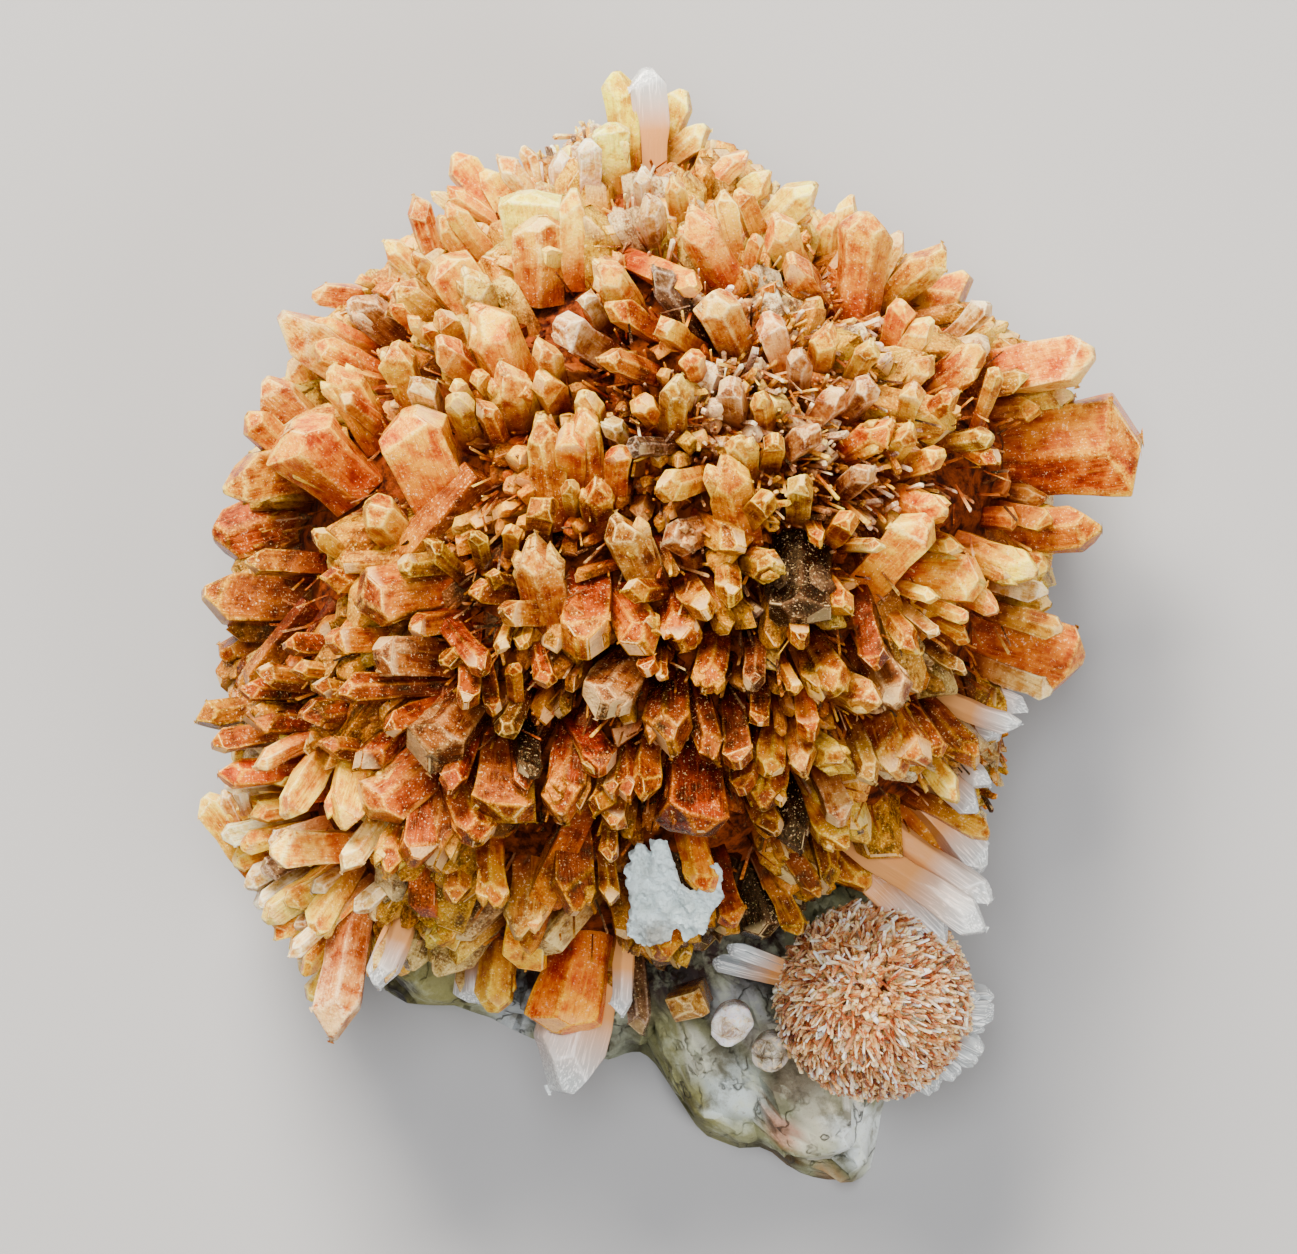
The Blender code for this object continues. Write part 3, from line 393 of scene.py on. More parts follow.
LOWER_MIDDLE = (
    (503, 822, 508, 765, 64, "honey"), (563, 816, 575, 745, 48, "peach"), (600, 812, 605, 785, 26, "honey"),
    (605, 770, 590, 745, 34, "peach"), (530, 778, 526, 745, 24, "smoky"), (455, 904, 458, 858, 30, "amber"),
    (493, 908, 490, 845, 32, "honey"), (522, 940, 530, 850, 42, "peach"), (578, 912, 570, 840, 42, "honey"),
    (472, 1003, 478, 912, 44, "clear"), (492, 1013, 500, 930, 40, "honey"),
    (560, 1034, 590, 905, 72, "vivid"), (555, 1090, 576, 1020, 76, "clear"),
    (609, 862, 609, 838, 18, "honey"), (611, 904, 608, 880, 20, "honey"), (640, 1035, 635, 965, 26, "smoky"),
    (620, 1015, 624, 965, 22, "clear"), (645, 796, 648, 758, 26, "pale"), (630, 796, 628, 775, 24, "amber"),
    (614, 795, 620, 765, 22, "honey"), (613, 828, 618, 803, 24, "honey"), (690, 832, 690, 765, 64, "rust"),
    (703, 892, 690, 828, 34, "vivid"), (770, 937, 735, 835, 52, "smoky"), (735, 925, 722, 880, 26, "amber"),
    (765, 810, 768, 780, 40, "honey"), (742, 790, 745, 765, 28, "honey"), (768, 775, 772, 748, 30, "honey"),
    (665, 958, 665, 935, 32, "honey"), (525, 790, 520, 755, 22, "rust"), (450, 790, 460, 760, 26, "amber"),
)
LOWER_RIGHT = (
    (842, 822, 826, 778, 28, "lilac"), (845, 765, 815, 748, 34, "pale"), (805, 772, 800, 742, 30, "peach"),
    (873, 780, 858, 742, 26, "peach"), (897, 772, 888, 742, 40, "peach"), (920, 762, 908, 742, 34, "peach"),
    (940, 757, 928, 735, 22, "amber"), (975, 760, 950, 735, 36, "pale"), (990, 785, 960, 765, 26, "clear"),
    (978, 812, 950, 785, 30, "clear"), (990, 835, 890, 785, 24, "amber"), (962, 895, 890, 810, 70, "amber"),
    (985, 868, 935, 812, 34, "clear"), (990, 903, 930, 862, 34, "clear"), (984, 928, 920, 885, 36, "clear"),
    (945, 944, 905, 905, 40, "clear"), (818, 898, 785, 845, 22, "peach"), (832, 888, 826, 862, 24, "honey"),
    (866, 890, 815, 830, 38, "amber"), (845, 850, 820, 815, 34, "honey"), (800, 850, 785, 797, 34, "smoky"),
    (775, 835, 760, 808, 28, "amber"), (800, 935, 785, 905, 24, "honey"), (960, 800, 935, 770, 26, "pale"),
)
WING = (
    (226, 788, 300, 780, 22, "white", 16), (216, 815, 290, 800, 24, "pale", 15),
    (222, 838, 300, 820, 22, "white", 17), (232, 862, 300, 835, 26, "pale", 15),
    (244, 884, 310, 850, 24, "white", 16), (258, 905, 320, 865, 22, "white", 18),
    (272, 926, 330, 880, 24, "honey", 16), (290, 950, 340, 900, 22, "pale", 17),
    (300, 972, 350, 915, 24, "white", 15), (308, 1000, 355, 930, 20, "pale", 14),
    (240, 845, 330, 825, 24, "honey", 20), (262, 872, 335, 845, 22, "smoky", 20),
    (285, 905, 345, 870, 24, "pale", 21), (250, 815, 330, 800, 22, "honey", 21),
    (268, 842, 340, 820, 20, "white", 22), (296, 930, 352, 888, 20, "lilac", 20),
    (318, 948, 362, 900, 22, "honey", 19), (280, 800, 350, 790, 22, "amber", 22),
    (300, 860, 356, 838, 22, "pale", 23), (312, 892, 362, 862, 20, "white", 22),
    (270, 780, 340, 772, 20, "honey", 22), (330, 918, 370, 884, 20, "amber", 22),
)
RIM_RIGHT = (
    (1040, 408, 975, 412, 26, "amber", 20), (1046, 500, 980, 492, 26, "peach", 17),
    (1052, 522, 985, 508, 24, "honey", 20), (1060, 548, 1000, 535, 24, "pale", 16),
    (1048, 568, 985, 552, 26, "amber", 19), (1052, 604, 990, 592, 24, "pale", 17),
    (1062, 632, 1000, 612, 26, "peach", 19), (1052, 692, 990, 668, 24, "white", 16),
    (1040, 676, 975, 652, 26, "honey", 14), (1018, 520, 950, 512, 24, "honey", 22),
    (1010, 486, 945, 480, 24, "rust", 20), (1030, 378, 970, 390, 24, "pale", 22),
    (1005, 700, 940, 672, 24, "pale", 15), (1000, 560, 930, 545, 26, "amber", 24),
)
SHOWN = WING + RIM_RIGHT + CROWN + LEFT + CENTRE + RIGHT + LOWER_LEFT + LOWER_MIDDLE + LOWER_RIGHT


def linear(code, alpha=1.0):
    """A hex colour as the linear values that Blender's sockets hold."""
    parts = [int(code[start:start + 2], 16) / 255 for start in (1, 3, 5)]
    return (*(((p + 0.055) / 1.055) ** 2.4 if p > 0.04045 else p / 12.92 for p in parts), alpha)


# Places

def place(across, down, height):
    """The point at this height that shows at this pixel."""
    spread = (EYE_HEIGHT - height) / (EYE_HEIGHT - READ_HEIGHT) / PIXELS_PER_METRE
    return Vector(((across - PICTURE_CENTRE[0]) * spread, (PICTURE_CENTRE[1] - down) * spread, height))


def pixel(point):
    """The pixel where a point shows."""
    spread = (EYE_HEIGHT - point[2]) / (EYE_HEIGHT - READ_HEIGHT) / PIXELS_PER_METRE
    return PICTURE_CENTRE[0] + point[0] / spread, PICTURE_CENTRE[1] - point[1] / spread


def around(centre, angle, reach, height):
    """The point at this height that shows so many pixels from a centre, at this angle."""
    return place(centre[0] + reach * math.cos(angle), centre[1] - reach * math.sin(angle), height)


def swayed(draw, *spreads):
    """A random push, with how far it spreads along each axis."""
    return Vector([draw.gauss(0, spread) for spread in spreads])


def eased(values, position):
    """A closed row of values read smoothly between its entries, at one position or at many."""
    first = np.floor(position).astype(int)
    part = position - first
    before, start, end, after = (np.take(values, first + step, mode="wrap") for step in (-1, 0, 1, 2))
    pull = (end - before) / 2
    leave = (after - start) / 2
    return (
        start
        + pull * part
        + (3 * (end - start) - 2 * pull - leave) * part ** 2
        + (2 * (start - end) + pull + leave) * part ** 3
    )


def tip_reach(angle):
    """Pixels from the dome's centre to the outline of its tips."""
    return eased(TIP_REACH, angle / math.tau * len(TIP_REACH))


def dome_share(across, down, inset):
    right = across - DOME_CENTRE[0]
    up = DOME_CENTRE[1] - down
    return math.hypot(right, up) / (tip_reach(math.atan2(up, right)) - inset)


def dome_height(across, down, inset, rise):
    share = min(dome_share(across, down, inset), 1.0)
    return WIDEST_HEIGHT + rise * math.sqrt(1 - share ** 2)


def below_dome(points):
    """How many mm each point lies inside the dome of the tips."""
    spread = (EYE_HEIGHT - points[:, 2]) / (EYE_HEIGHT - READ_HEIGHT) / PIXELS_PER_METRE
    right = PICTURE_CENTRE[0] - DOME_CENTRE[0] + points[:, 0] / spread
    up = DOME_CENTRE[1] - PICTURE_CENTRE[1] + points[:, 1] / spread
    share = np.hypot(right, up) / tip_reach(np.arctan2(up, right))
    level = np.maximum(points[:, 2] - WIDEST_HEIGHT, 0) / TIP_RISE
    return (1 - np.hypot(share, level)) * DOME_RADIUS / MM


def below_ball(points):
    """How many mm each point lies inside the ball of the side cluster."""
    return (BALL_REACH - np.linalg.norm(points - np.array(place(*BALL_CENTRE, BALL_HEIGHT)), axis=1)) / MM


def never_buried(points):
    """For grains that stand free, where no point is deeper than another."""
    return np.zeros(len(points))


def inside_core(point):
    across, down = pixel(point)
    if dome_share(across, down, ROOT_INSET) > CORE_INSIDE:
        return False
    return CORE_FOOT < point.z < dome_height(across, down, ROOT_INSET, ROOT_RISE)


def over_ledge(angle):
    return LEDGE_FROM < math.degrees(angle) % 360 < LEDGE_TO


def root_of(tip, aim, shown_length):
    """Follows the crystal back from its tip until it is well inside the core, if it meets it."""
    depth = MARCH_STEP
    while depth < LONGEST and not inside_core(tip - aim * depth):
        depth += MARCH_STEP
    return tip - aim * (depth + SINK if depth < LONGEST else shown_length)


def leaning(tip, outward, shown_length, core_height):
    """The way a crystal points: its drawn root meets the core, or it leans as its place does."""
    from_nucleus = tip - place(*NUCLEUS, NUCLEUS_HEIGHT)
    by_place = math.atan2(from_nucleus.to_2d().length, from_nucleus.z)
    drop = max(tip.z - core_height, shown_length * LEAST_DROP)
    lean = max(by_place, math.atan2(shown_length, drop))
    return outward * math.sin(lean) + Vector((0, 0, math.cos(lean)))


# Moulds

# A mould is 1 wide. How far from the tip its form isn't stretched
MOULD_LENGTH = 4.0
TIP_ZONE = 1.3
# The inset of its facets, the width of its softened edges and the least angle of a sharp one
MOULD_INSET = 0.11
MOULD_BEVEL = 0.04
MOULD_SHARP = math.radians(18)
# Where rings lie along the shaft of a fine mould, and how far the pale rim reaches from an edge
MOULD_RINGS = (0.25, 0.45, 0.62, 0.76, 0.88)
RIM_WIDTH = 0.07


def pushed(point):
    """A push of its own at each point, from noise read at three places: the same one in each run."""
    places = ((0, 0, 0), (31.4, 7.1, 0), (0, 17.3, 5.9))
    return Vector([noise.noise(point + Vector(offset)) for offset in places])


def start_clean():
    """Leaves edit mode and selects nothing."""
    if bpy.context.object and bpy.context.object.mode != "OBJECT":
        bpy.ops.object.mode_set(mode="OBJECT")
    bpy.ops.object.select_all(action="DESELECT")


def edit_whole():
    """Goes into edit mode with all of the mesh selected."""
    bpy.ops.object.mode_set(mode="EDIT")
    bpy.ops.mesh.select_all(action="SELECT")


def wound(face):
    """The corners of a face from its lowest number on, in the same winding."""
    corners = list(face.vertices)
    first = corners.index(min(corners))
    return corners[first:] + corners[:first]


def model_mould(name, sides, cuts, fine):
    """One crystal, 1 wide and 4 long, its tip up: a prism cut by slanted planes.

    A fine one gets an inset in each facet, softened edges and rings along its shaft. One that
    is neither fine nor coarse, a needle, keeps its sharp edges.
    """
    start_clean()
    radius = 0.5 / math.cos(math.pi / sides) if sides in (4, 6) else 0.5
    bpy.ops.mesh.primitive_cylinder_add(vertices=sides, radius=radius, depth=MOULD_LENGTH)
    mould = bpy.context.object
    mould.name = name
    mould.location.z = MOULD_LENGTH / 2
    if sides == 4:
        mould.rotation_euler.z = math.pi / 4
    bpy.ops.object.transform_apply(location=True, rotation=True, scale=True)
    bpy.ops.object.mode_set(mode="EDIT")
    for slant, turned, near in cuts:
        outward = Vector((math.cos(turned), math.sin(turned), 0))
        bpy.ops.mesh.select_all(action="SELECT")
        bpy.ops.mesh.bisect(
            plane_co=outward * near + Vector((0, 0, MOULD_LENGTH)),
            plane_no=outward * math.sin(slant) + Vector((0, 0, math.cos(slant))),
            use_fill=True,
            clear_outer=True,
        )
    bpy.ops.object.mode_set(mode="OBJECT")
    corners = mould.data.vertices
    edges = [[corners[index].co.copy() for index in edge.vertices] for edge in mould.data.edges]
    edit_whole()
    if fine:
        bpy.ops.mesh.inset(thickness=MOULD_INSET, use_individual=True)
    bpy.ops.mesh.select_all(action="DESELECT")
    if fine is not None:
        bpy.ops.mesh.edges_select_sharp(sharpness=MOULD_SHARP)
        bpy.ops.mesh.bevel(offset=MOULD_BEVEL, segments=2 if fine else 1)
    if fine:
        for share in MOULD_RINGS:
            bpy.ops.mesh.select_all(action="SELECT")
            bpy.ops.mesh.bisect(plane_co=(0, 0, MOULD_LENGTH * share), plane_no=(0, 0, 1))
    bpy.ops.mesh.select_all(action="SELECT")
    bpy.ops.mesh.quads_convert_to_tris()
    bpy.ops.object.mode_set(mode="OBJECT")
    points = np.array([vert.co for vert in mould.data.vertices])
    # Sorted, because the order of the faces isn't the same in each run
    ordered = sorted(
        (wound(face), tuple(round(part, 1) for part in face.normal)) for face in mould.data.polygons
    )
    faces = np.array([corners for corners, facing in ordered])
    sides_seen = {}
    facets = [sides_seen.setdefault(facing, len(sides_seen)) for corners, facing in ordered]
    bpy.data.objects.remove(mould, do_unlink=True)
    rim = np.zeros(len(points))
    for start, end in edges:
        along = np.array(end - start)
        share = np.clip((points - start) @ along / max(along @ along, 1e-9), 0, 1)
        away = np.linalg.norm(points - start - share[:, None] * along, axis=1)
        rim = np.maximum(rim, np.exp(-((away / RIM_WIDTH) ** 2)))
    return points, faces, rim, np.array(facets)


def tip_cuts(draw, count):
    """The planes that slant a tip: how steep each is, which way it faces, and how far out it lies."""
    side = draw.choice((0, math.pi))
    cuts = []
    for steep, facing, wander, near in (
        ((38, 60), side, 0, (-0.05, 0.12)),
        ((46, 66), side + math.pi, 0, (0.0, 0.2)),
        ((40, 64), -math.pi / 2, 0.4, (0.02, 0.25)),
        ((45, 64), math.pi / 2, 0.4, (0.08, 0.28)),
    ):
        slant = math.radians(draw.uniform(*steep))
        turned = facing + (draw.uniform(-wander, wander) if wander else 0)
        cuts.append((slant, turned, draw.uniform(*near)))
    return cuts[:count]


def stamp(name, moulds, crystals, seed, buried=below_dome):
    """Sets a copy of a mould for each crystal and joins them all into one piece.

    A crystal is (root, tip, width, thickness, turn, mould, colour).
    """
    draw = np.random.default_rng(seed)
    points, faces, colours, grown, rims, facets, facet_lots, widths = ([] for _ in range(8))
    total = 0
    for root, tip, width, thickness, turn, mould, colour in crystals:
        shape, corners, rim, sides = moulds[mould]
        axis = tip - root
        length = axis.length / width
        axis = axis.normalized()
        across = axis.cross(Vector((0, 0, 1)))
        if across.length < 0.1:
            across = axis.cross(Vector((0, 1, 0)))
        across = Matrix.Rotation(turn, 3, axis) @ across.normalized()
        upward = axis.cross(across)
        below = MOULD_LENGTH - shape[:, 2]
        if length > TIP_ZONE * 1.5:
            stretch = (length - TIP_ZONE) / (MOULD_LENGTH - TIP_ZONE)
            below = np.where(below < TIP_ZONE, below, TIP_ZONE + (below - TIP_ZONE) * stretch)
        else:
            below = below * length / MOULD_LENGTH
        up = length - below
        share = up / length
        waves = draw.uniform(0, math.tau, 5)
        swell = 1 + 0.05 * np.sin(up * 2.1 + waves[0]) + 0.03 * np.sin(up * 5.3 + waves[1])
        swell += 0.05 * np.sin(np.arctan2(shape[:, 1], shape[:, 0]) * 2 + up * 2.9 + waves[4])
        taper = (ROOT_TAPER + (1 - ROOT_TAPER) * share) * swell
        wide = shape[:, 0] * taper + 0.03 * np.sin(up * 1.7 + waves[2])
        deep = shape[:, 1] * taper * thickness + 0.03 * np.sin(up * 1.9 + waves[3])
        local = np.stack((wide, deep, up), axis=1) * width
        turned = np.array((across, upward, axis))
        points.append(np.array(root) + local @ turned)
        faces.append(corners + total)
        total += len(shape)
        colours.append(np.tile(colour, (len(shape), 1)))
        grown.append(share)
        rims.append(rim)
        facets.append(local / MM + draw.uniform(-40, 40, 3))
        # One draw is passed over, so that the facets keep theirs
        draw.uniform()
        widths.append(np.full(len(shape), width / MM))
        facet_lots.append(draw.uniform(size=sides.max() + 1)[sides])
    points, faces, widths = (np.concatenate(group) for group in (points, faces, widths))
    mesh = bpy.data.meshes.new(name)
    mesh.vertices.add(len(points))
    mesh.vertices.foreach_set("co", points.ravel())
    mesh.loops.add(len(faces) * 3)
    mesh.loops.foreach_set("vertex_index", faces.ravel())
    mesh.polygons.add(len(faces))
    mesh.polygons.foreach_set("loop_start", np.arange(0, len(faces) * 3, 3))
    mesh.update(calc_edges=True)
    keep(mesh, "crystal_colour", "FLOAT_COLOR", "color", np.concatenate(colours))
    keep(mesh, "facet", "FLOAT_VECTOR", "vector", np.concatenate(facets))
    keep(mesh, "facet_lot", "FLOAT", "value", np.concatenate(facet_lots), "FACE")
    keep(mesh, "buried", "FLOAT", "value", buried(points) - widths * OWN_DEPTH)
    for attribute, values in (("grown", grown), ("rim", rims)):
        keep(mesh, attribute, "FLOAT", "value", np.concatenate(values))
    piece = bpy.data.objects.new(name, mesh)
    bpy.context.scene.collection.objects.link(piece)
    start_clean()
    bpy.context.view_layer.objects.active = piece
    piece.select_set(True)
    bpy.ops.object.shade_smooth_by_angle(angle=math.radians(30))
    return piece


def keep(mesh, name, kind, field, values, domain="POINT"):
    """Keeps values in the mesh, one for each point or face, for its material to read."""
    attribute = mesh.attributes.new(name, kind, domain)
    attribute.data.foreach_set(field, values.astype(np.float32).ravel())


def stained(tip):
    """How light the crystals are here, as painted shade: darker towards the bottom, less so in some places.
    """
    across, down = pixel(tip)
    # iron is the painted shade's lightness at this place
    iron = eased_row(PAINTED_SHADE_ROWS, down)
    for middle, level, far, least in LESS_PAINTED_SHADE:
        share = 1 - math.hypot(across - middle, down - level) / far
        iron = max(iron, least * min(max(share * 3, 0), 1))
    return iron


def eased_row(rows, value):
    """The second column of a table at a value of its first."""
    for (start, low), (end, high) in zip(rows, rows[1:]):
        if value <= end:
            share = min(max((value - start) / (end - start), 0), 1)
            return low + (high - low) * share * share * (3 - 2 * share)
    return rows[-1][1]


def tinted(code, draw, tip, spread=TONE_SPREAD, width=0.0, most=2.0):
    """A tone's colour, darker and deeper where the painted shade says, and a little lighter or darker and
    paler or deeper for each crystal.
    """
    # iron is the painted shade's lightness at this place
    iron = PAINTED_SHADE_PLAIN if code == TONES["vivid"] else min(stained(tip), most)
    wide = min(width / WIDEST, 1)
    light = math.exp(draw.gauss(0, spread)) * iron * (SMALL_LIGHT + (WIDE_LIGHT - SMALL_LIGHT) * wide)
    depth = math.exp(draw.gauss(0, spread)) * (iron / PAINTED_SHADE_PLAIN) ** -PAINTED_SHADE_DEEPENING
    return (*(min(part ** depth * light, 1) for part in linear(code)[:3]), 1)


# Materials

def add_node(tree, kind, inputs=(), out=0, **settings):
    """Adds a node, its settings, and its inputs as values or as links, and gives one output."""
    made = tree.nodes.new("ShaderNode" + kind)
    for name, value in settings.items():
        setattr(made, name, value)
    for name, value in inputs.items() if isinstance(inputs, dict) else enumerate(inputs):
        if isinstance(value, bpy.types.NodeSocket):
            tree.links.new(value, made.inputs[name])
        else:
            made.inputs[name].default_value = value
    return made.outputs[out] if made.outputs else made


# What a node that mixes two colours needs: its inputs are 0 for the share, 6 and 7
MIXED = {"out": 2, "data_type": "RGBA"}
MULTIPLIED = {**MIXED, "blend_type": "MULTIPLY"}


def layered(tree, shade, *layers):
    """Lays colours over a shade, each one as far as its pattern says.

    A layer is (colour, pattern, the pattern's value at no share, at full share) and then, where
    they aren't 0 and 1, the two shares.
    """
    for colour, pattern, *span in layers:
        share = add_node(tree, "MapRange", (pattern, *span))
        shade = add_node(tree, "Mix", {0: share, 6: shade, 7: colour}, **MIXED)
    return shade


def blank_material(name):
    """A material without nodes, and its node tree."""
    made = bpy.data.materials.new(name)
    made.use_nodes = True
    made.node_tree.nodes.clear()
    return made, made.node_tree


def finish_material(made, skin):
    """Ends a material with its surface."""
    tree = made.node_tree
    add_node(tree, "OutputMaterial", {"Surface": add_node(tree, "BsdfPrincipled", skin)})
    return made


def creedite(name, settings):
    """Creedite grown in bundles of prisms: a glassy, cloudy body that light goes into.

    The eye gets a warm depth, paler edges painted as a highlight, glints on the facets, partly painted, and
    painted shade deep between the crystals.
    """
    made, tree = blank_material(name)
    body, grown, rim, facet, facet_lot, deep = (
        add_node(tree, "Attribute", out=out, attribute_name=kept) for kept, out in (
            ("crystal_colour", "Color"), ("grown", "Fac"), ("rim", "Fac"), ("facet", "Vector"),
            ("facet_lot", "Fac"), ("buried", "Fac"),
        )
    )
    facing = add_node(tree, "NewGeometry", out="Normal")
    upwards = add_node(tree, "SeparateXYZ", (facing,), "Z")

    # The body's colour where light goes through less of the crystal, or more of it, and the pale colour of
    # the painted edge highlight
    sunny, amber, stain, milk, edge_highlight = (
        add_node(tree, "Gamma", (body, power)) for power in (0.8, 1.15, 1.7, 0.62, 0.33)
    )
    amber = add_node(tree, "Mix", {0: 1.0, 6: amber, 7: (0.80, 0.66, 0.4, 1)}, **MULTIPLIED)
    stain = add_node(tree, "Mix", {0: 1.0, 6: stain, 7: (0.60, 0.38, 0.2, 1)}, **MULTIPLIED)

    # Cloudy iron stain inside the crystal, in patches about 1.5 mm across: where light goes
    # a short way it comes back yellow, and where it goes a long way it comes back brown
    cloud = add_node(tree, "TexNoise", {"Vector": facet, "Scale": 0.6, "Detail": 5.0, "Roughness": 0.62})
    # Growth lines along the shaft, about 0.2 mm apart
    stretch = add_node(tree, "Mapping", {"Vector": facet, "Scale": (4.5, 4.5, 0.30)})
    lines = add_node(tree, "TexNoise", {"Vector": stretch, "Scale": 1.0, "Detail": 4.0})
    # Grit about 0.15 mm, drawn coarser than dust is so that it shows
    dust = add_node(tree, "TexNoise", {"Vector": facet, "Scale": 4.5, "Detail": 3.0, "Roughness": 0.75})
    shade = layered(
        tree, amber, (sunny, cloud, 0.46, 0.56), (stain, cloud, 0.45, 0.36),
        (milk, lines, 0.54, 0.70, 0.0, 0.55), (stain, lines, 0.44, 0.34, 0.0, 0.5),
    )

    # A deep, red root: partly the crystal's own colour, partly painted shade where the roots sit among their
    # neighbours
    root = add_node(tree, "Mix", {0: 1.0, 6: shade, 7: (0.56, 0.28, 0.1, 1)}, **MULTIPLIED)
    shade = layered(tree, shade, (root, grown, 0.2, 0.85, 1.0, 0.0))
    # Painted light: each facet lighter or darker at random, for the light it lets out through the crystal
    way = add_node(tree, "MapRange", (facet_lot, 0.0, 1.0, 1.35, 0.8))
    shade = add_node(tree, "Gamma", (shade, way))
    # Paler edges as a painted highlight, broken up in places, and a frosted facet here and there near the tip
    mottled = add_node(tree, "Math", (cloud, dust), operation="ADD")
    highlight_patches = add_node(tree, "MapRange", (mottled, 0.86, 1.12, 0.12, 1.0))
    by_tip = add_node(tree, "MapRange", (grown, 0.35, 0.95, 0.1, 1.0))
    edge = add_node(tree, "Math", (rim, by_tip), operation="MULTIPLY")
    edge = add_node(tree, "Math", (edge, highlight_patches), operation="MULTIPLY")
    shade = add_node(tree, "Mix", {0: edge, 6: shade, 7: edge_highlight}, **MIXED)
    frosted = add_node(tree, "MapRange", (facet_lot, 0.84, 0.88))
    at_end = add_node(tree, "MapRange", (grown, 0.80, 0.92, 0.0, 0.45))
    frost = add_node(tree, "Math", (frosted, at_end), operation="MULTIPLY")
    shade = add_node(tree, "Mix", {0: frost, 6: shade, 7: linear("#f6d898")}, **MIXED)

    # White specks of dust and sugar that are also painted sparkle highlights, most on what faces up, and
    # dense in patches
    lying = add_node(tree, "MapRange", (upwards, 0.0, 0.9, 0.12, 0.6))
    dense = add_node(tree, "MapRange", (cloud, 0.52, 0.66, 0.0, 0.07))
    dense = add_node(tree, "Math", (dust, dense), operation="ADD")
    specks = add_node(tree, "MapRange", (dense, 0.62, 0.68))
    specks = add_node(tree, "Math", (specks, lying), operation="MULTIPLY")
    shade = add_node(tree, "Mix", {0: specks, 6: shade, 7: linear("#ffdca0")}, **MIXED)
    shade = layered(tree, shade, (linear("#6a3412"), dust, 0.40, 0.30, 0.0, 0.6))

    # The deeper between its neighbours, the redder and darker: painted shade in the hollows between the
    # crystals
    for tint, start, full in (((0.56, 0.20, 0.04, 1), 1.0, 4.5), ((0.20, 0.02, 0.01, 1), 3.0, 7.0)):
        painted_hollow_shade = add_node(tree, "Mix", {0: 1.0, 6: shade, 7: tint}, **MULTIPLIED)
        shade = layered(tree, shade, (painted_hollow_shade, deep, start, full))

    height = lines
    for pattern, share in ((dust, 0.7), (cloud, 2.5)):
        raised = add_node(tree, "Math", (pattern, share), operation="MULTIPLY")
        height = add_node(tree, "Math", (height, raised), operation="ADD")
    bump = add_node(tree, "Bump", {"Height": height, "Strength": 0.6, "Distance": 0.2 * MM})
    rough = add_node(tree, "Math", (facet_lot, dust), operation="ADD")
    return finish_material(made, {
        "Base Color": shade,
        "Roughness": add_node(tree, "MapRange", (rough, 0.5, 1.5, 0.04, 0.26)),
        "IOR": 1.47,
        "Specular IOR Level": 0.36,
        "Specular Tint": linear("#ffc880"),
        "Normal": bump,
        "Subsurface Weight": settings.glow,
        "Subsurface Radius": (1.0, 0.3, 0.04),
        "Subsurface Scale": 1.2 * MM,
    })


def clear_creedite(name, clearest, stained_to):
    """Colourless creedite: see-through, with white growth lines and an iron-stained root.

    The eye sees what lies behind a blade between its milky streaks.
    """
    made, tree = blank_material(name)
    body, grown, rim, facet = (
        add_node(tree, "Attribute", out=out, attribute_name=kept) for kept, out in (
            ("crystal_colour", "Color"), ("grown", "Fac"), ("rim", "Fac"), ("facet", "Vector"),
        )
    )
    # Growth lines along the blade, about 0.15 mm apart
    stretch = add_node(tree, "Mapping", {"Vector": facet, "Scale": (6.5, 6.5, 0.30)})
    lines = add_node(tree, "TexNoise", {"Vector": stretch, "Scale": 1.0, "Detail": 3.0})
    white = add_node(tree, "MapRange", (lines, 0.48, 0.62))
    # White on the edges too, a painted edge highlight
    edge = add_node(tree, "Math", (rim, 0.35), operation="MULTIPLY")
    white = add_node(tree, "Math", (white, edge), operation="MAXIMUM")
    root = add_node(tree, "MapRange", (grown, stained_to - 0.4, stained_to, 1.0, 0.0))
    shade = body
    for pattern, share, code in ((white, 0.8, "#f8fafa"), (root, 0.9, "#dc8c1a")):
        share = add_node(tree, "Math", (pattern, share), operation="MULTIPLY")
        shade = add_node(tree, "Mix", {0: share, 6: shade, 7: linear(code)}, **MIXED)
    milky = add_node(tree, "Math", (white, root), operation="MAXIMUM")
    return finish_material(made, {
        "Base Color": shade,
        "Roughness": 0.12,
        "IOR": 1.46,
        "Transmission Weight": add_node(tree, "MapRange", (milky, 0.0, 1.0, clearest, 0.10)),
        "Normal": add_node(tree, "Bump", {"Height": lines, "Strength": 0.4, "Distance": 0.1 * MM}),
    })


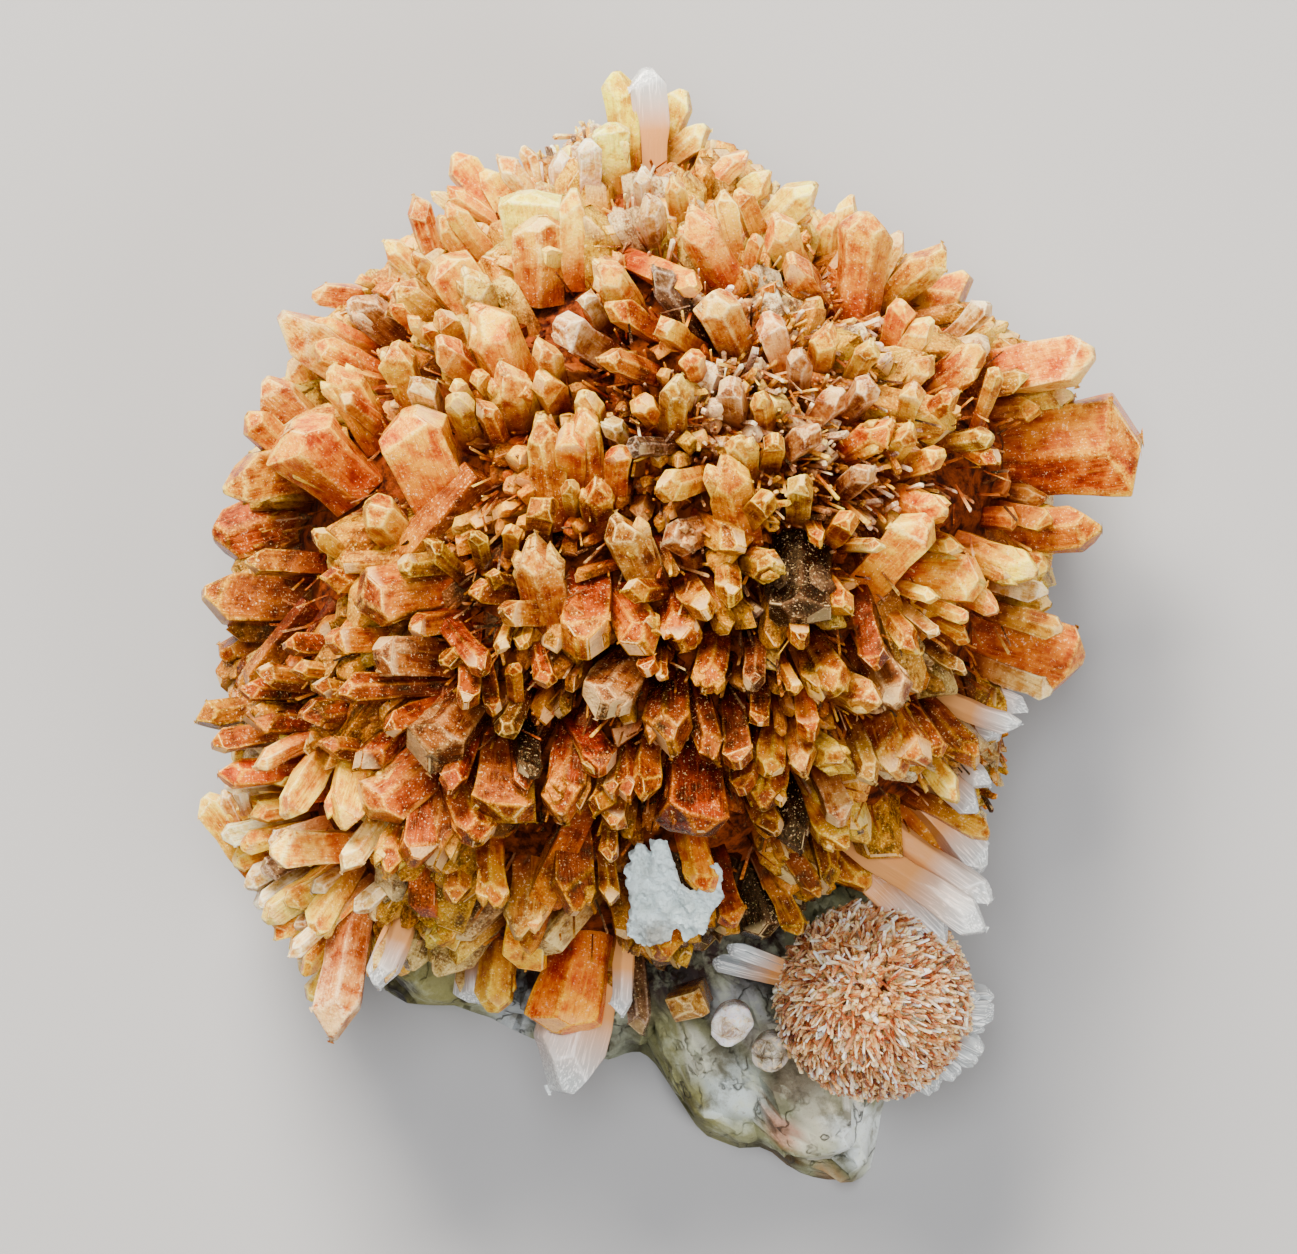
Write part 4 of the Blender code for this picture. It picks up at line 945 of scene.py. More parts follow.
def stone(name):
    """Weathered matrix rock: chalky, in stained patches, with cracks and a fine crust.

    The eye gets a rough grey-green ground that hardly shines.
    """
    made, tree = blank_material(name)
    # Stain colours, with the painted shadow under the main cluster among them
    stain = add_node(tree, "Attribute", out="Color", attribute_name="stain")
    spot = add_node(tree, "TexCoord", out="Object")
    # Patches about 4 mm across and grit of about 0.4 mm
    patch = add_node(tree, "TexNoise", {"Vector": spot, "Scale": 260.0, "Detail": 6.0, "Roughness": 0.65})
    grit = add_node(tree, "TexNoise", {"Vector": spot, "Scale": 2400.0, "Detail": 4.0, "Roughness": 0.7})
    shaded = add_node(tree, "Mix", {0: 1.0, 6: stain, 7: (0.30, 0.26, 0.18, 1)}, **MULTIPLIED)
    shade = layered(
        tree, stain, (linear("#c4caa9"), patch, 0.54, 0.66, 0.0, 0.6), (shaded, patch, 0.38, 0.50, 0.85, 0.0),
        (linear("#5d5338"), grit, 0.60, 0.72, 0.0, 0.6),
    )
    # Dark cracks about 5 mm apart and 0.15 mm wide, that come and go
    wander = add_node(tree, "TexNoise", {"Vector": spot, "Scale": 420.0, "Detail": 3.0})
    bent = (wander.node.outputs["Color"], (4 * MM, 4 * MM, 4 * MM))
    bent = add_node(tree, "VectorMath", bent, operation="MULTIPLY")
    crooked = add_node(tree, "VectorMath", (spot, bent), operation="ADD")
    cells = add_node(
        tree, "TexVoronoi", {"Vector": crooked, "Scale": 190.0}, "Distance", feature="DISTANCE_TO_EDGE"
    )
    crack = add_node(tree, "MapRange", (cells, 0.0, 0.035, 1.0, 0.0))
    gone = add_node(tree, "MapRange", (wander, 0.42, 0.58, 0.0, 0.8))
    crack = add_node(tree, "Math", (crack, gone), operation="MULTIPLY")
    shade = add_node(tree, "Mix", {0: crack, 6: shade, 7: linear("#2c2616")}, **MIXED)
    height = add_node(tree, "Math", (grit, 0.35), operation="MULTIPLY")
    height = add_node(tree, "Math", (patch, height), operation="ADD")
    height = add_node(tree, "Math", (height, crack), operation="SUBTRACT")
    return finish_material(made, {
        "Base Color": shade,
        "Roughness": add_node(tree, "MapRange", (patch, 0.3, 0.7, 0.75, 0.45)),
        "Normal": add_node(tree, "Bump", {"Height": height, "Strength": 0.7, "Distance": 0.5 * MM}),
        "Subsurface Weight": 0.15,
        "Subsurface Radius": (1.0, 0.9, 0.7),
        "Subsurface Scale": 0.8 * MM,
    })


def chalk(name):
    """A dull chalky flake, cool white, with a crumbly face.

    The eye gets a flat pale place without glints among the crystals.
    """
    made, tree = blank_material(name)
    spot = add_node(tree, "TexCoord", out="Object")
    # Crumbs of about 0.5 mm and grey-beige patches of about 3 mm
    crumb = add_node(tree, "TexNoise", {"Vector": spot, "Scale": 1500.0, "Detail": 5.0, "Roughness": 0.7})
    patch = add_node(tree, "TexNoise", {"Vector": spot, "Scale": 320.0, "Detail": 3.0})
    # The beige-grey place at its lower left, about 3 mm wide, with a crumbly edge
    away = (spot, place(*FLAKE_GREYED, FLAKE_HEIGHT - 1.5 * MM))
    away = add_node(tree, "VectorMath", away, "Value", operation="DISTANCE")
    edge = add_node(tree, "Math", (crumb, 2 * MM), operation="MULTIPLY")
    edge = add_node(tree, "Math", (away, edge), operation="ADD")
    white = add_node(tree, "MapRange", (patch, 0.48, 0.7, 0.0, 0.8))
    shade = add_node(tree, "Mix", {0: white, 6: linear("#eafcff"), 7: linear("#b9c8c2")}, **MIXED)
    shade = layered(
        tree, shade, (linear("#87918e"), crumb, 0.3, 0.45, 0.5, 0.0),
        (linear("#9c9484"), edge, 1.6 * MM, 3.2 * MM, 0.75, 0.0),
    )
    bump = add_node(tree, "Bump", {"Height": crumb, "Strength": 1.0, "Distance": 0.7 * MM})
    return finish_material(made, {"Base Color": shade, "Roughness": 0.75, "Normal": bump})


def root_rock(name):
    """The grown-together roots: iron-stained crystal painted near black, with hardly any light in it, as
    painted shade.

    The eye gets the depth of the gaps between the crystals.
    """
    made, tree = blank_material(name)
    spot = add_node(tree, "TexCoord", out="Object")
    patch = add_node(tree, "TexNoise", {"Vector": spot, "Scale": 700.0, "Detail": 5.0, "Roughness": 0.7})
    # Painted shade: near black, with brown patches
    shade = layered(tree, linear("#2a0a02"), (linear("#7a3208"), patch, 0.4, 0.6))
    bump = add_node(tree, "Bump", {"Height": patch, "Strength": 0.8, "Distance": 0.6 * MM})
    return finish_material(
        made, {"Base Color": shade, "Roughness": 1.0, "Specular IOR Level": 0.1, "Normal": bump}
    )


def floor_board(name, colour):
    """Matt painted board, which gives back no highlight."""
    made, tree = blank_material(name)
    return finish_material(made, {"Base Color": colour, "Roughness": 0.9})


def material_of(name, maker, *settings):
    return bpy.data.materials.get(name) or maker(name, *settings)


def crystal_material(context):
    return material_of("cloudy creedite", creedite, context.scene.creedite_cluster)


def finish_piece(piece, made, slot):
    """Keeps a piece in the box, gives it its material, hangs it on the root body and hides the part of the
    model that it stands for.
    """
    points = np.empty(len(piece.data.vertices) * 3, dtype=np.float32)
    piece.data.vertices.foreach_get("co", points)
    points = np.clip(points.reshape(-1, 3), *(np.array(corner, dtype=np.float32) for corner in cad_box))
    piece.data.vertices.foreach_set("co", points.ravel())
    piece.data.materials.append(made)
    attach(piece, "root")
    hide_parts(slot)


# Pieces

def shown_lines():
    """The drawn line of each read crystal and half its width in pixels, and its heights."""
    rows = np.array([row[:5] for row in SHOWN], dtype=float)
    spans = rows[:, 2:4] - rows[:, 0:2]
    heights = []
    for (root, tip, *rest), span in zip(shown_crystals(), spans):
        seen = max(math.dist(pixel(root), pixel(tip)), 1)
        heights.append((tip.z, tip.z + (root.z - tip.z) * min(np.linalg.norm(span) / seen, 1)))
    return rows[:, 0:2], spans, rows[:, 4] / 2, np.array(heights)


def seen_with(lines, point):
    """Whether a point stands in front of a read crystal, and whether one hides it."""
    ends, spans, halves, heights = lines
    away = np.array(pixel(point)) - ends
    along = np.clip((away * spans).sum(axis=1) / (spans ** 2).sum(axis=1), 0, FREE_LENGTH)
    near = np.linalg.norm(away - spans * along[:, None], axis=1) < halves * FREE_WIDTH
    lowest = heights[:, 0] + (heights[:, 1] - heights[:, 0]) * along - halves / PIXELS_PER_METRE - UNDER
    return bool((near & (point.z > lowest)).any()), bool(near.any())


def bundle(crystal, draw, moulds):
    """The thinner crystals grown side by side along a wide one, each a little shorter."""
    root, tip, width, thickness, turn, mould, colour = crystal
    aim = (tip - root).normalized()
    across = aim.cross(Vector((0, 0, 1))).normalized()
    upward = across.cross(aim)
    for index in range(round(width / MM * BUNDLE_SHARE) + 1):
        angle = draw.choice((0, math.pi)) + draw.gauss(0, 0.4)
        aside = across * math.cos(angle) + upward * math.sin(angle) * thickness
        thin = width * draw.uniform(0.30, 0.58)
        end = tip + aside * (width / 2 - thin * draw.uniform(0.36, 0.46))
        end -= aim * width * draw.uniform(0.10, 0.45)
        light = draw.uniform(0.8, 1.25)
        shade = (*(min(part * light, 1) for part in colour[:3]), 1)
        start = root.lerp(end, 0.25)
        lean = swayed(draw, 0.03, 0.03, 0.03) * width
        yield start - lean, end + lean, thin, draw.uniform(0.6, 0.95), turn, draw.randrange(moulds), shade


def shown_crystals():
    """Each crystal read from the photograph: root, tip, width, tone and its own random draws."""
    for tip_across, tip_down, root_across, root_down, width, tone, *fixed in SHOWN:
        draw = random.Random(tip_across * 10000 + tip_down)
        height = dome_height(tip_across, tip_down, 0, TIP_RISE) + draw.uniform(-1, 1) * TIP_JITTER
        if dome_share(tip_across, tip_down, 0) > BELT_SHARE:
            height = draw.uniform(*BELT)
        if fixed:
            height = fixed[0] * MM
        tip = place(tip_across, tip_down, height)
        flat = Vector((tip_across - root_across, root_down - tip_down, 0))
        shown_length = flat.length / PIXELS_PER_METRE
        core_height = dome_height(root_across, root_down, ROOT_INSET, ROOT_RISE)
        aim = leaning(tip, flat.normalized(), shown_length, core_height)
        yield root_of(tip, aim, shown_length), tip, width / PIXELS_PER_METRE, tone, draw


def leaned(from_nucleus):
    """Aims further outwards than straight from the nucleus, as the real crystals do."""
    out = from_nucleus.to_2d()
    lean = min(math.atan2(out.length, from_nucleus.z) * 1.35 + 0.12, 1.5)
    out = out.normalized() * math.sin(lean)
    return Vector((out.x, out.y, math.cos(lean)))


def flank_crystals(draw):
    """The crystals that finish the side which the photograph doesn't show."""
    nucleus = place(*NUCLEUS, NUCLEUS_HEIGHT)
    for index in range(FLANK_COUNT):
        angle = math.tau * (index + draw.uniform(-0.3, 0.3)) / FLANK_COUNT
        reach = tip_reach(angle) - draw.uniform(*FLANK_INSETS)
        height = draw.uniform(*FLANK_HEIGHTS)
        width = draw.uniform(*FLANK_WIDTHS) / PIXELS_PER_METRE
        if not over_ledge(angle):
            tip = around(DOME_CENTRE, angle, reach, height)
            root = tip.lerp(nucleus, FLANK_LENGTH_SHARE)
            root.z = max(root.z, WIDEST_HEIGHT)
            yield root, tip, width


def needle_crystals(draw, count):
    """Hair-fine needles in the hollows between the crystals."""
    nucleus = place(*NUCLEUS, NUCLEUS_HEIGHT)
    lines = shown_lines()
    for index in range(count):
        level = 1 - (index + 0.5) / count
        angle = GOLDEN_ANGLE * index
        if level < 0.2 and over_ledge(angle):
            continue
        reach = tip_reach(angle) * math.sqrt(1 - level ** 2) * 0.96
        surface = around(DOME_CENTRE, angle, reach, WIDEST_HEIGHT + TIP_RISE * level)
        if (surface - place(*BALL_CENTRE, BALL_HEIGHT)).length < BALL_REACH + 2 * MM:
            continue
        aim = (leaned(surface - nucleus) + swayed(draw, 0.4, 0.4, 0.4)).normalized()
        tip = surface - (surface - nucleus).normalized() * draw.triangular(1.2, 6.0, 3.0) * MM
        if seen_with(lines, tip)[0] and draw.random() < 0.85 or by_flake(tip):
            continue
        yield tip - aim * draw.uniform(1.5, 3.2) * MM, tip, draw.uniform(0.12, 0.28) * MM


def fill_crystals(draw, count, tones, highest=1.0, widths=SMALL_WIDTHS):
    """Small crystals spread evenly over the dome, in the tones of the large ones around.

    With a highest level below 1 they grow on the flanks, out of the core.
    """
    nucleus = place(*NUCLEUS, NUCLEUS_HEIGHT)
    lines = shown_lines()
    for index in range(count):
        level = highest - (index + 0.5) / count * (highest + 0.12)
        angle = GOLDEN_ANGLE * index + highest
        out = math.sqrt(1 - max(level, 0) ** 2)
        reach = tip_reach(angle) * out * 0.97 - (0 if level > 0 else -level * 200)
        height = WIDEST_HEIGHT + (TIP_RISE if level > 0 else 60 * MM) * level
        surface = around(DOME_CENTRE, angle, reach, height)
        aim = leaned(surface - nucleus)
        sunk = draw.triangular(1.2, 7.5, 3.6) * (RIM_DEPTH + (1 - RIM_DEPTH) * min(max(level, 0) * 3, 1))
        tip = surface - (surface - nucleus).normalized() * sunk * MM
        if in_any(HOLLOWS, tip):
            tip -= (surface - nucleus).normalized() * HOLLOW_DEPTH
        if highest < 1:
            shown = draw.triangular(*FLANK_SHOWN) * MM
            while inside_core(tip - aim * shown):
                tip += aim * MARCH_STEP
        in_front, hidden = seen_with(lines, tip)
        if in_front or by_flake(tip) or level < 0.2 and over_ledge(angle) and not (hidden and level > 0.03):
            continue
        if (tip - place(*BALL_CENTRE, BALL_HEIGHT)).length < BALL_REACH + 1 * MM:
            continue
        lean = swayed(draw, 0.22, 0.22, 0.22)
        aim = (aim + lean).normalized()
        width = min(draw.triangular(*widths) * MM, tip.z * 0.8)
        root = tip - aim * max(width * draw.uniform(3.5, 6.0), 4 * MM)
        root.z = max(root.z, ROOT_LOWEST)
        tone = tones.find(tip)[1]
        if draw.random() < 0.25:
            tone = tones.find(tip + lean * 20 * MM)[1]
        yield root, tip, width, tone


def small_row(filled, shown, draw, most=2.0):
    """What the stamp needs for a small crystal, in a tone like its neighbour's."""
    root, tip, width, index = filled
    tone = shown[index][3]
    if draw.random() < 0.5:
        tone = DEEPER.get(tone, tone)
    if in_any(DRUSE, tip) and draw.random() < 0.35:
        tone = "white"
    colour = tinted(TONES[tone], draw, tip, SMALL_SPREAD, width * 0.5, most)
    thickness, turn = draw.uniform(0.6, 1), draw.uniform(0, math.pi)
    return root, tip, width, thickness, turn, draw.randrange(SMALL_MOULDS), colour


def by_flake(point):
    """Whether a point lies round or over the flake, not below it."""
    return point.z > FLAKE_FREE_FROM and math.dist(pixel(point), FLAKE_MIDDLE) < FLAKE_CLEARANCE


def in_any(circles, point):
    """Whether a point is seen within one of the circles, given by their pixels."""
    across, down = pixel(point)
    return any(math.hypot(across - middle, down - level) < far for middle, level, far in circles)


def ball_crystals(draw, count):
    """Fine blades all round the side cluster, from its middle."""
    middle = place(*BALL_CENTRE, BALL_HEIGHT)
    for index in range(count):
        level = 1 - (index + 0.5) / count * (1 - BALL_LOWEST_AIM)
        turn = GOLDEN_ANGLE * index
        out = math.sqrt(1 - level ** 2)
        aim = Vector((out * math.cos(turn), out * math.sin(turn), level))
        aim = (aim + swayed(draw, 0.1, 0.1, 0.1)).normalized()
        lump = 0.94 + 0.12 * noise.noise(aim * 2.6)
        reach = BALL_REACH * min(draw.triangular(0.74, 1.0, 0.94) * lump, 1)
        width = draw.triangular(0.3, 1.4, 0.5) * MM
        yield middle + aim * BALL_CORE * 0.72, middle + aim * reach, width, aim


def ball_strands(draw, count):
    """Thin fibres that lie along the outside of the side cluster and run down over it."""
    middle = place(*BALL_CENTRE, BALL_HEIGHT)
    for index in range(count):
        level = draw.uniform(-0.1, 0.98)
        turn = draw.uniform(0, math.tau)
        out = math.sqrt(1 - level ** 2)
        aim = Vector((out * math.cos(turn), out * math.sin(turn), level))
        down = Vector((level * math.cos(turn) + 0.5, level * math.sin(turn) - 0.5, -out))
        down += swayed(draw, 0.6, 0.6, 0.6)
        start = aim * BALL_REACH * draw.uniform(0.86, 0.95)
        end = start + down.normalized() * draw.uniform(1.0, 2.8) * MM
        end = end.normalized() * BALL_REACH * draw.uniform(0.93, 1.0)
        yield middle + start, middle + end, draw.uniform(0.12, 0.32) * MM


def fan(draw, middle, blades, count, spread):
    """Thin clear blades spread round each long one that the part has."""
    for across, down, width in blades:
        tip = place(across, down, BALL_HEIGHT)
        for index in range(count):
            lean = swayed(draw, spread, spread, spread)
            reach = (tip - middle) * draw.uniform(0.84, 1.0) if index else tip - middle
            end = middle + reach + lean * (reach.length if index else 0)
            end.z = min(max(end.z, BALL_HEIGHT - 2.5 * MM), BALL_HEIGHT + 3.5 * MM)
            if (end - middle).length > (tip - middle).length:
                end = middle + (end - middle).normalized() * (tip - middle).length
            thin = width / PIXELS_PER_METRE * (draw.uniform(0.35, 0.65) if index else 0.8)
            yield middle.lerp(end, FAN_ROOT), end, thin


def matrix_reach(angle):
    """Pixels from the matrix's centre to its edge, straight between the listed angles."""
    degrees = math.degrees(angle) % 360
    rows = MATRIX_OUTLINE + ((360, MATRIX_OUTLINE[0][1]),)
    for (start, near), (end, far) in zip(rows, rows[1:]):
        if start <= degrees <= end:
            return near + (far - near) * (degrees - start) / (end - start)
    return rows[0][1]


class ClusterSettings(bpy.types.PropertyGroup):
    """What a user can change"""
    glow: FloatProperty(
        name="Glow", description="How much light goes into a crystal and comes out again",
        default=0.25, min=0, max=1, subtype="FACTOR",
    )
    fill_count: IntProperty(
        name="Small crystals", description="Places tried for small crystals between the large ones",
        default=2600, min=0,
    )
    floor_colour: FloatVectorProperty(
        name="Floor", description="Colour of the floor", subtype="COLOR", size=4, default=linear("#9c9da0")
    )


class CREEDITE_OT_crystals(bpy.types.Operator):
    """Sets every crystal of the main cluster that shows in the photograph"""
    bl_idname = "creedite.crystals"
    bl_label = "Large crystals"

    def execute(self, context):
        mould_draw = random.Random(5)
        moulds = [
            model_mould("mould", 6 if index % 3 else 4, tip_cuts(mould_draw, 3 + index % 2), True)
            for index in range(LARGE_MOULDS)
        ]
        crystals = []
        clear = []
        for root, tip, width, tone, draw in shown_crystals():
            thickness = draw.uniform(THINNEST, THICKEST)
            turn = math.radians(draw.uniform(-24, 24))
            see_through = tone == "clear" and dome_share(*pixel(tip), 0) > CLEAR_BEYOND
            colour = linear(CLEAR_COLOUR) if see_through else tinted(TONES[tone], draw, tip, width=width)
            row = (root, tip, width, thickness, turn, draw.randrange(LARGE_MOULDS), colour)
            (clear if see_through else crystals).append(row)
        draw = random.Random(51)
        for root, tip, width in flank_crystals(random.Random(17)):
            tone = draw.choice(("honey", "amber", "peach"))
            row = (root, tip, width, draw.uniform(0.7, 0.9), draw.uniform(0, 1), draw.randrange(LARGE_MOULDS))
            crystals.append((*row, tinted(TONES[tone], draw, tip, width=width, most=FLANK_MOST_LIGHT)))
        half = len(crystals) // 2
        for name, group in (("crystals_upper", crystals[:half]), ("crystals_lower", crystals[half:])):
            finish_piece(stamp(name, moulds, group, 31), crystal_material(context), "main_cluster")
        finish_piece(
            stamp("crystals_clear", moulds, clear, 33),
            material_of("milky clear creedite", clear_creedite, 0.6, 0.92),
            "main_cluster",
        )
        return {"FINISHED"}


class CREEDITE_OT_small_crystals(bpy.types.Operator):
    """Fills the dome between the large crystals with small ones"""
    bl_idname = "creedite.small_crystals"
    bl_label = "Small crystals"

    def execute(self, context):
        draw = random.Random(41)
        mould_draw = random.Random(8)
        moulds = [
            model_mould("small mould", 6 if index % 2 else 4, tip_cuts(mould_draw, 3), False)
            for index in range(SMALL_MOULDS)
        ]
        tones = kdtree.KDTree(len(SHOWN))
        shown = list(shown_crystals())
        for index, (root, tip, *rest) in enumerate(shown):
            tones.insert(tip, index)
        tones.balance()
        crystals = []
        for root, tip, width, tone, _ in shown:
            if width > WIDE_FROM and dome_share(*pixel(tip), 0) < BUNDLE_WITHIN:
                wide = (root, tip, width, 0.75, 0, 0, tinted(TONES[tone], draw, tip, width=width))
                crystals.extend(bundle(wide, draw, SMALL_MOULDS))
        count = context.scene.creedite_cluster.fill_count
        crystals.extend(small_row(row, shown, draw) for row in fill_crystals(draw, count, tones))
        finish_piece(stamp("crystals_small", moulds, crystals, 32), crystal_material(context), "main_cluster")
        draw = random.Random(43)
        sides = fill_crystals(draw, FLANK_TRIES, tones, FLANK_LEVEL, FLANK_SMALL_WIDTHS)
        crystals = [small_row(row, shown, draw, FLANK_MOST_LIGHT) for row in sides]
        finish_piece(stamp("crystals_flank", moulds, crystals, 33), crystal_material(context), "main_cluster")
        draw = random.Random(44)
        mould = [model_mould("needle", 4, tip_cuts(mould_draw, 1), None)]
        sugar = []
        for root, tip, width, index in fill_crystals(draw, DRUSE_TRIES, tones):
            if not in_any(DRUSE, tip):
                continue
            tone = draw.choices(("white", "pale", "honey", "smoky"), (46, 26, 18, 10))[0]
            tip = tip + (tip - root).normalized() * draw.uniform(0.0, 1.6) * MM
            thin = draw.triangular(0.14, 0.6, 0.2) * MM
            aim = (tip - root).normalized() + swayed(draw, 0.3, 0.3, 0.2)
            row = (tip - aim * (thin * 5 + 1 * MM), tip, thin, draw.uniform(0.6, 1), draw.uniform(0, 3), 0)
            sugar.append((*row, tinted(TONES[tone], draw, tip, NEEDLE_SPREAD)))
        finish_piece(stamp("druse", mould, sugar, 38), crystal_material(context), "main_cluster")
        needles = []
        for root, tip, width in needle_crystals(draw, NEEDLE_TRIES):
            shares = (46, 22, 26, 6) if in_any(DRUSE, tip) else (10, 30, 26, 34)
            tone = draw.choices(("white", "pale", "smoky", "amber"), shares)[0]
            needles.append((root, tip, width, 0.8, 0, 0, tinted(TONES[tone], draw, tip, NEEDLE_SPREAD)))
        finish_piece(stamp("needles", mould, needles, 37), crystal_material(context), "main_cluster")
        return {"FINISHED"}


class CREEDITE_OT_roots(bpy.types.Operator):
    """Shapes the body that the roots of the main cluster make together"""
    bl_idname = "creedite.roots"
    bl_label = "Root body"

    def execute(self, context):
        start_clean()
        bpy.ops.mesh.primitive_uv_sphere_add(segments=96, ring_count=48, radius=1)
        piece = context.object
        piece.name = "root_body"
        for vert in piece.data.vertices:
            out = math.hypot(vert.co.x, vert.co.y)
            angle = math.atan2(vert.co.y, vert.co.x)
            if vert.co.z >= 0:
                height = WIDEST_HEIGHT + (ROOT_RISE - 2 * MM) * vert.co.z
                share = out
            else:
                lower = min(-vert.co.z * CORE_TURN, 1)
                height = WIDEST_HEIGHT - (WIDEST_HEIGHT - CORE_FOOT) * lower
                share = out ** CORE_FULLNESS * (1 - (1 - CORE_UNDERCUT) * lower)
            reach = (tip_reach(angle) - ROOT_INSET - 24) * share
            point = around(DOME_CENTRE, angle, reach, height)
            if height > CORE_FOOT + 1 * MM:
                outward = (point - place(*DOME_CENTRE, WIDEST_HEIGHT)).normalized()
                point += outward * noise.noise(point / (3 * MM)) * MM
            vert.co = point
        bpy.ops.object.shade_smooth()
        finish_piece(piece, material_of("iron-stained roots", root_rock), "main_cluster")
        return {"FINISHED"}


class CREEDITE_OT_side_cluster(bpy.types.Operator):
    """Sets the small ball of fine blades, with its longer clear ones"""
    bl_idname = "creedite.side_cluster"
    bl_label = "Side cluster"

    def execute(self, context):
        draw = random.Random(23)
        mould_draw = random.Random(9)
        blades, spines = (
            [model_mould("blade mould", 4, tip_cuts(mould_draw, 3), fine) for index in range(BLADE_MOULDS)]
            for fine in (False, None)
        )
        middle = place(*BALL_CENTRE, BALL_HEIGHT)
        crystals = []
        for root, tip, width, aim in ball_crystals(draw, SPINES):
            warm = noise.noise(aim * 2.6) + 0.3 * draw.gauss(0, 0.3) > 0
            code = draw.choices(BALL_TONES, BALL_WARM if warm else BALL_PALE)[0]
            turn, mould = draw.uniform(0, 3), draw.randrange(BLADE_MOULDS)
            crystals.append((root, tip, width, 0.7, turn, mould, linear(code)))
        for root, tip, width in ball_strands(draw, STRANDS):
            code = draw.choices(STRAND_TONES, STRAND_SHARES)[0]
            turn, mould = draw.uniform(0, 3), draw.randrange(BLADE_MOULDS)
            crystals.append((root, tip, width, 0.8, turn, mould, linear(code)))
        piece = stamp("side_ball", spines, crystals, 34, below_ball)
        finish_piece(piece, crystal_material(context), "side_cluster")
        clear = []
        for listed, count, spread in ((BALL_RIGHT_BLADES, 12, 0.10), (BALL_LEFT_BLADES, 2, 0.015)):
            for root, tip, width in fan(draw, middle, listed, count, spread):
                turn, mould = draw.uniform(-1, 1), draw.randrange(BLADE_MOULDS)
                clear.append((root, tip, width, 0.6, turn, mould, linear(CLEAR_COLOUR)))
        piece = stamp("side_blades", blades, clear, 35)
        finish_piece(piece, material_of("clear creedite", clear_creedite, 0.8, 0.75), "side_cluster")
        start_clean()
        bpy.ops.mesh.primitive_ico_sphere_add(subdivisions=4, radius=BALL_CORE, location=middle)
        piece = context.object
        piece.name = "side_root"
        bpy.ops.object.transform_apply(location=True, rotation=True, scale=True)
        for vert in piece.data.vertices:
            vert.co += (vert.co - middle).normalized() * (noise.noise(vert.co / (2 * MM)) * 0.5 - 0.5) * MM
        bpy.ops.object.shade_smooth()
        finish_piece(piece, material_of("iron-stained roots", root_rock), "side_cluster")
        return {"FINISHED"}


class CREEDITE_OT_matrix(bpy.types.Operator):
    """Shapes the slab of matrix rock, flat below and lumpy above"""
    bl_idname = "creedite.matrix"
    bl_label = "Matrix"

    def execute(self, context):
        start_clean()
        bpy.ops.mesh.primitive_uv_sphere_add(segments=288, ring_count=96, radius=1)
        piece = context.object
        piece.name = "matrix_rock"
        edit_whole()
        bpy.ops.mesh.bisect(plane_co=(0, 0, 1e-5), plane_no=(0, 0, 1), clear_inner=True, use_fill=True)
        bpy.ops.object.mode_set(mode="OBJECT")
        mesh = piece.data
        colours = []
        base = Vector(linear(MATRIX_PLAIN))
        for vert in mesh.vertices:
            out = math.hypot(vert.co.x, vert.co.y)
            angle = math.atan2(vert.co.y, vert.co.x)
            reach = matrix_reach(angle) * out ** MATRIX_FULLNESS
            height = MATRIX_TOP * max(vert.co.z, 0) ** MATRIX_SQUARENESS
            point = around(MATRIX_CENTRE, angle, reach, height)
            if height > MATRIX_FLAT_UP_TO:
                point.z += MATRIX_LUMP_HEIGHT * noise.noise(point / MATRIX_LUMP_SIZE)
                # Each block is broken off along a slope of its own, and the crust pits it
                cell = noise.voronoi(point / MATRIX_BREAKS)[1][0]
                broken = (point / MATRIX_BREAKS - cell).dot(pushed(cell * 5.1)) * 4.0
                fine = min(noise.fractal(point / MATRIX_CRUST, 0.7, 2.1, 6) * 0.35 - 0.7 + broken, 0)
                point.z += fine * MM
                point.x -= math.cos(angle) * max(-fine, 0) * MM * 0.8
                point.y -= math.sin(angle) * max(-fine, 0) * MM * 0.8
            vert.co = point
            across, down = pixel(point)
            wander = noise.fractal(point / STAIN_BAYS, 0.8, 2.1, 4) * STAIN_WANDER
            colour = base.copy()
            # The dark maroon circles are painted shadow under the main cluster
            for left, top, far, code in MATRIX_STAINS_AND_SHADOW:
                near = math.hypot(across - left, down - top) + wander
                colour = colour.lerp(Vector(linear(code)), min(max((far - near) / far * 3, 0), 1))
            cell = noise.voronoi(vert.co / MATRIX_SHADES)[1][0]
            colours.append(colour * (0.82 + 0.5 * noise.noise(cell * 3.7)))
        keep(mesh, "stain", "FLOAT_COLOR", "color", np.array(colours))
        bpy.ops.object.shade_smooth_by_angle(angle=math.radians(32))
        finish_piece(piece, material_of("weathered matrix rock", stone), "matrix")
        return {"FINISHED"}


